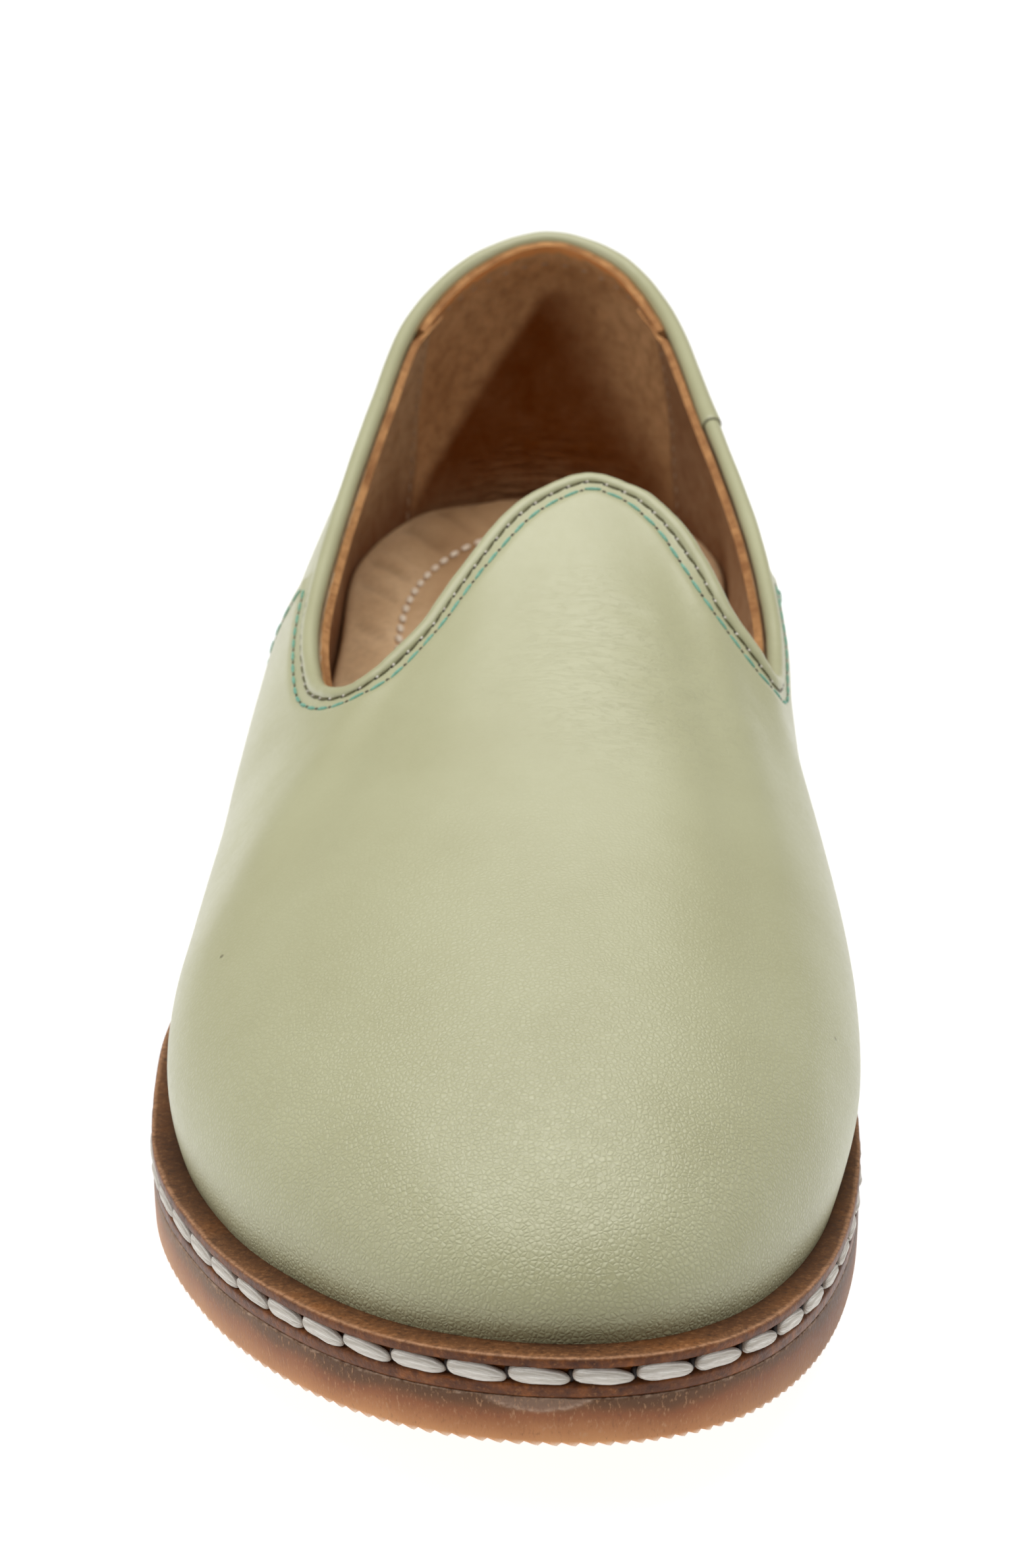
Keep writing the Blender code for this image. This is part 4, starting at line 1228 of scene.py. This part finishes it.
def footbed_relief(x, y, from_edge):
    """Height of the puffed heel pad, its sewn groove and its gathers, and the gathers by themselves."""
    share = pad_line_share(x, y)
    heel = smooth((y - HEEL_PAD_FRONT) / 30.0)
    away = (share - 1.0) * 22.0
    groove = -0.45 * bell(away / 1.1) * heel
    puff = 0.45 * smooth(1.0 - share**2) * heel
    angle = np.arctan2(x, y - HEEL_PAD_FRONT) * 60.0 + 0.25 * y
    gathers = waver(angle, (5.2, 0.2, 0.2), (3.1, 0.15, 1.1), (8.3, 0.14, 2.6))
    band = smooth((away - 0.5) / 2.5) * smooth((from_edge - 0.3) / 2.0) * heel
    return groove + puff + gathers * band, gathers * band


def make_footbed():
    """Tan leather footbed, padded and sewn at the heel."""
    columns = 480
    turn = np.linspace(0.0, FULL_TURN, columns + 1)
    base = MIDSOLE_TOP + SEAT
    plan_edge = edge_point(turn)
    inset = ledge_at(turn) + 2.0 + 2.2 * smooth((plan_edge[:, 1] - 250.0) / 10.0)
    inset += 1.5 * smooth((140.0 - plan_edge[:, 1]) / 30.0)
    inward = -edge_normal(turn)
    profile = ((9.0, 0.0), (0.5, 0.0), (0.1, 0.06), (0.0, 0.2),
               (0.0, 0.55), (0.1, 0.8), (0.45, 0.94), (1.1, 1.0))
    rows = []
    for extra, share in profile:
        plan = plan_edge + inward * (inset + extra)[:, None]
        thick = insole_thickness(plan[:, 1])
        rows.append(np.column_stack([plan, base + sole_lift(plan[:, 1]) + share * thick]))
    rim = rows[-1]
    mirrored = np.concatenate([rim[:1], rim[1:-1][::-1], rim[-1:]])
    middle = 0.5 * (rim + mirrored)
    folds = [np.zeros(columns + 1)] * (2 + len(profile))
    for share in np.linspace(0.0, 1.0, 41)[1:]:
        row = rim * (1.0 - share) + middle * share
        from_edge = np.linalg.norm(row[:, :2] - rim[:, :2], axis=1)
        crown = FOOTBED_CROWN * smooth(from_edge / 8.0)
        row[:, 2] = base + sole_lift(row[:, 1]) + insole_thickness(row[:, 1]) + crown
        relief, pleat = footbed_relief(row[:, 0], row[:, 1], from_edge)
        row[:, 2] += relief
        rows.append(row)
        folds.append(pleat)
    low_rows = closed_down(rows[0], base, (1.0, 0.5))
    points = np.stack(low_rows + rows, axis=1)
    # Painted light: 1 over the footbed's middle and 0 at its edges, so the edges take the lighter colours.
    centre_weight = smooth((27.0 - np.abs(points[..., 0])) / 13.0)
    # Painted shade: the troughs of the gathers, where they dip below the footbed.
    fold_shade = smooth(-np.stack(folds, axis=1) / 0.45)
    shape = draped(points, {"centre_weight": centre_weight, "fold_shade": fold_shade}, close=True)
    footbed = finished("footbed", shape, "insole", FOOTBED)
    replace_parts(footbed, "insole")
    sweep = np.linspace(-0.5 * math.pi, 0.5 * math.pi, 160)
    curve = np.column_stack([PAD_HALF_WIDE * np.sin(sweep), PAD_ROUND_FROM + PAD_ROUND_LONG * np.cos(sweep)])
    front = np.linspace(HEEL_PAD_FRONT + 2.0, PAD_ROUND_FROM, 60, endpoint=False)
    left = np.column_stack([np.full(len(front), -PAD_HALF_WIDE), front])
    right = np.column_stack([np.full(len(front), PAD_HALF_WIDE), front[::-1]])
    plan = np.concatenate([left, curve, right])
    top = base + sole_lift(plan[:, 1]) + insole_thickness(plan[:, 1]) + FOOTBED_CROWN
    top += footbed_relief(plan[:, 0], plan[:, 1], np.full(len(plan), 8.0))[0]
    line = np.column_stack([plan, top])
    facing = np.tile(np.array([0.0, 0.0, 1.0]), (len(line), 1))
    *row, pitch = paced(line, facing, FOOTBED_PITCH)
    sewn("footbed_stitches", "insole", CREAM_THREAD, row, pitch * FOOTBED_FILL, FOOTBED_STITCH)


make_outsole()
make_midsole()
make_welt_stitches()
make_footbed()
vamp_sheet = make_vamp()
quarter_sheet = make_quarters()
make_side_lining()
make_heel_lining()
make_collar_roll()
make_collar_stitches(vamp_sheet, quarter_sheet)
make_second_row(vamp_sheet)


# Studio, in metres in the part's frame
SOFT_BOXES = (
    # name, place, aim, size, power
    ("overhead", (-0.05, 0.12, 1.15), (0.0, 0.0, 0.03), (1.2, 1.2), 15.5),
    ("left_side", (-1.2, -0.2, 0.7), (0.0, 0.0, 0.04), (0.8, 0.8), 3.6),
    ("right_side", (1.2, 0.0, 0.7), (0.0, 0.0, 0.04), (0.8, 0.8), 2.2),
)
SKY_STRENGTH = 0.20


def pale_floor():
    """Plain pale floor under the shoe."""
    half_side = 30.0
    below_shoe = 0.0004
    shape = bmesh.new()
    bmesh.ops.create_grid(shape, x_segments=2, y_segments=2, size=half_side)
    bmesh.ops.translate(shape, verts=shape.verts[:], vec=(0.0, 0.0, -below_shoe))
    mesh = bpy.data.meshes.new("pale_floor")
    shape.to_mesh(mesh)
    shape.free()
    sockets = {"Base Color": (0.35, 0.35, 0.35, 1.0), "Roughness": 0.9, "Specular IOR Level": 0.1,
               "Emission Color": (1.0, 1.0, 1.0, 1.0), "Emission Strength": 0.9}
    mesh.materials.append(start_finish("pale_floor", sockets)[0])
    floor = bpy.data.objects.new("pale_floor", mesh)
    bpy.context.scene.collection.objects.link(floor)


def soft_box(name, place, aim, size, power):
    """Large square lamp turned to a point."""
    lamp = bpy.data.lights.new(name, "AREA")
    lamp.shape = "RECTANGLE"
    lamp.size, lamp.size_y = size
    lamp.energy = power
    holder = bpy.data.objects.new(name, lamp)
    holder.location = place
    way = Vector(aim) - Vector(place)
    holder.rotation_euler = way.to_track_quat("-Z", "Y").to_euler()
    bpy.context.scene.collection.objects.link(holder)


def studio_sky(strength):
    """Even white light from all round."""
    world = bpy.data.worlds.new("studio")
    world.use_nodes = True
    back = world.node_tree.nodes["Background"]
    back.inputs["Color"].default_value = (1.0, 1.0, 1.0, 1.0)
    back.inputs["Strength"].default_value = strength
    bpy.context.scene.world = world


def photo_camera():
    """Camera at the photograph's angle, in front of and above the toe, where it is sharpest."""
    picture_high = 2380.0
    focal = 5502.0
    centre_shift = 46.5
    look_down = 27.1
    place = np.array([0.0, -330.0, 265.0])
    sharp_spot = np.array([0.0, 35.0, 40.0])
    stop = 42.0
    lens = bpy.data.cameras.new("camera")
    lens.sensor_fit = "AUTO"
    lens.sensor_width = 36.0
    lens.lens = 36.0 * focal / picture_high
    lens.shift_x = -centre_shift / picture_high
    lens.clip_start = 0.01
    sharp_at = bpy.data.objects.new("sharp_at", None)
    sharp_at.location = to_frame(sharp_spot)
    bpy.context.scene.collection.objects.link(sharp_at)
    lens.dof.use_dof = True
    lens.dof.focus_object = sharp_at
    lens.dof.aperture_fstop = stop
    camera = bpy.data.objects.new("camera", lens)
    camera.location = to_frame(place)
    camera.rotation_euler = (math.radians(90.0 - look_down), 0.0, 0.0)
    bpy.context.scene.collection.objects.link(camera)
    bpy.context.scene.camera = camera


pale_floor()
studio_sky(SKY_STRENGTH)
for lamp_settings in SOFT_BOXES:
    soft_box(*lamp_settings)
photo_camera()
bpy.context.scene.view_settings.view_transform = "Standard"
bpy.context.scene.view_settings.exposure = 0.0
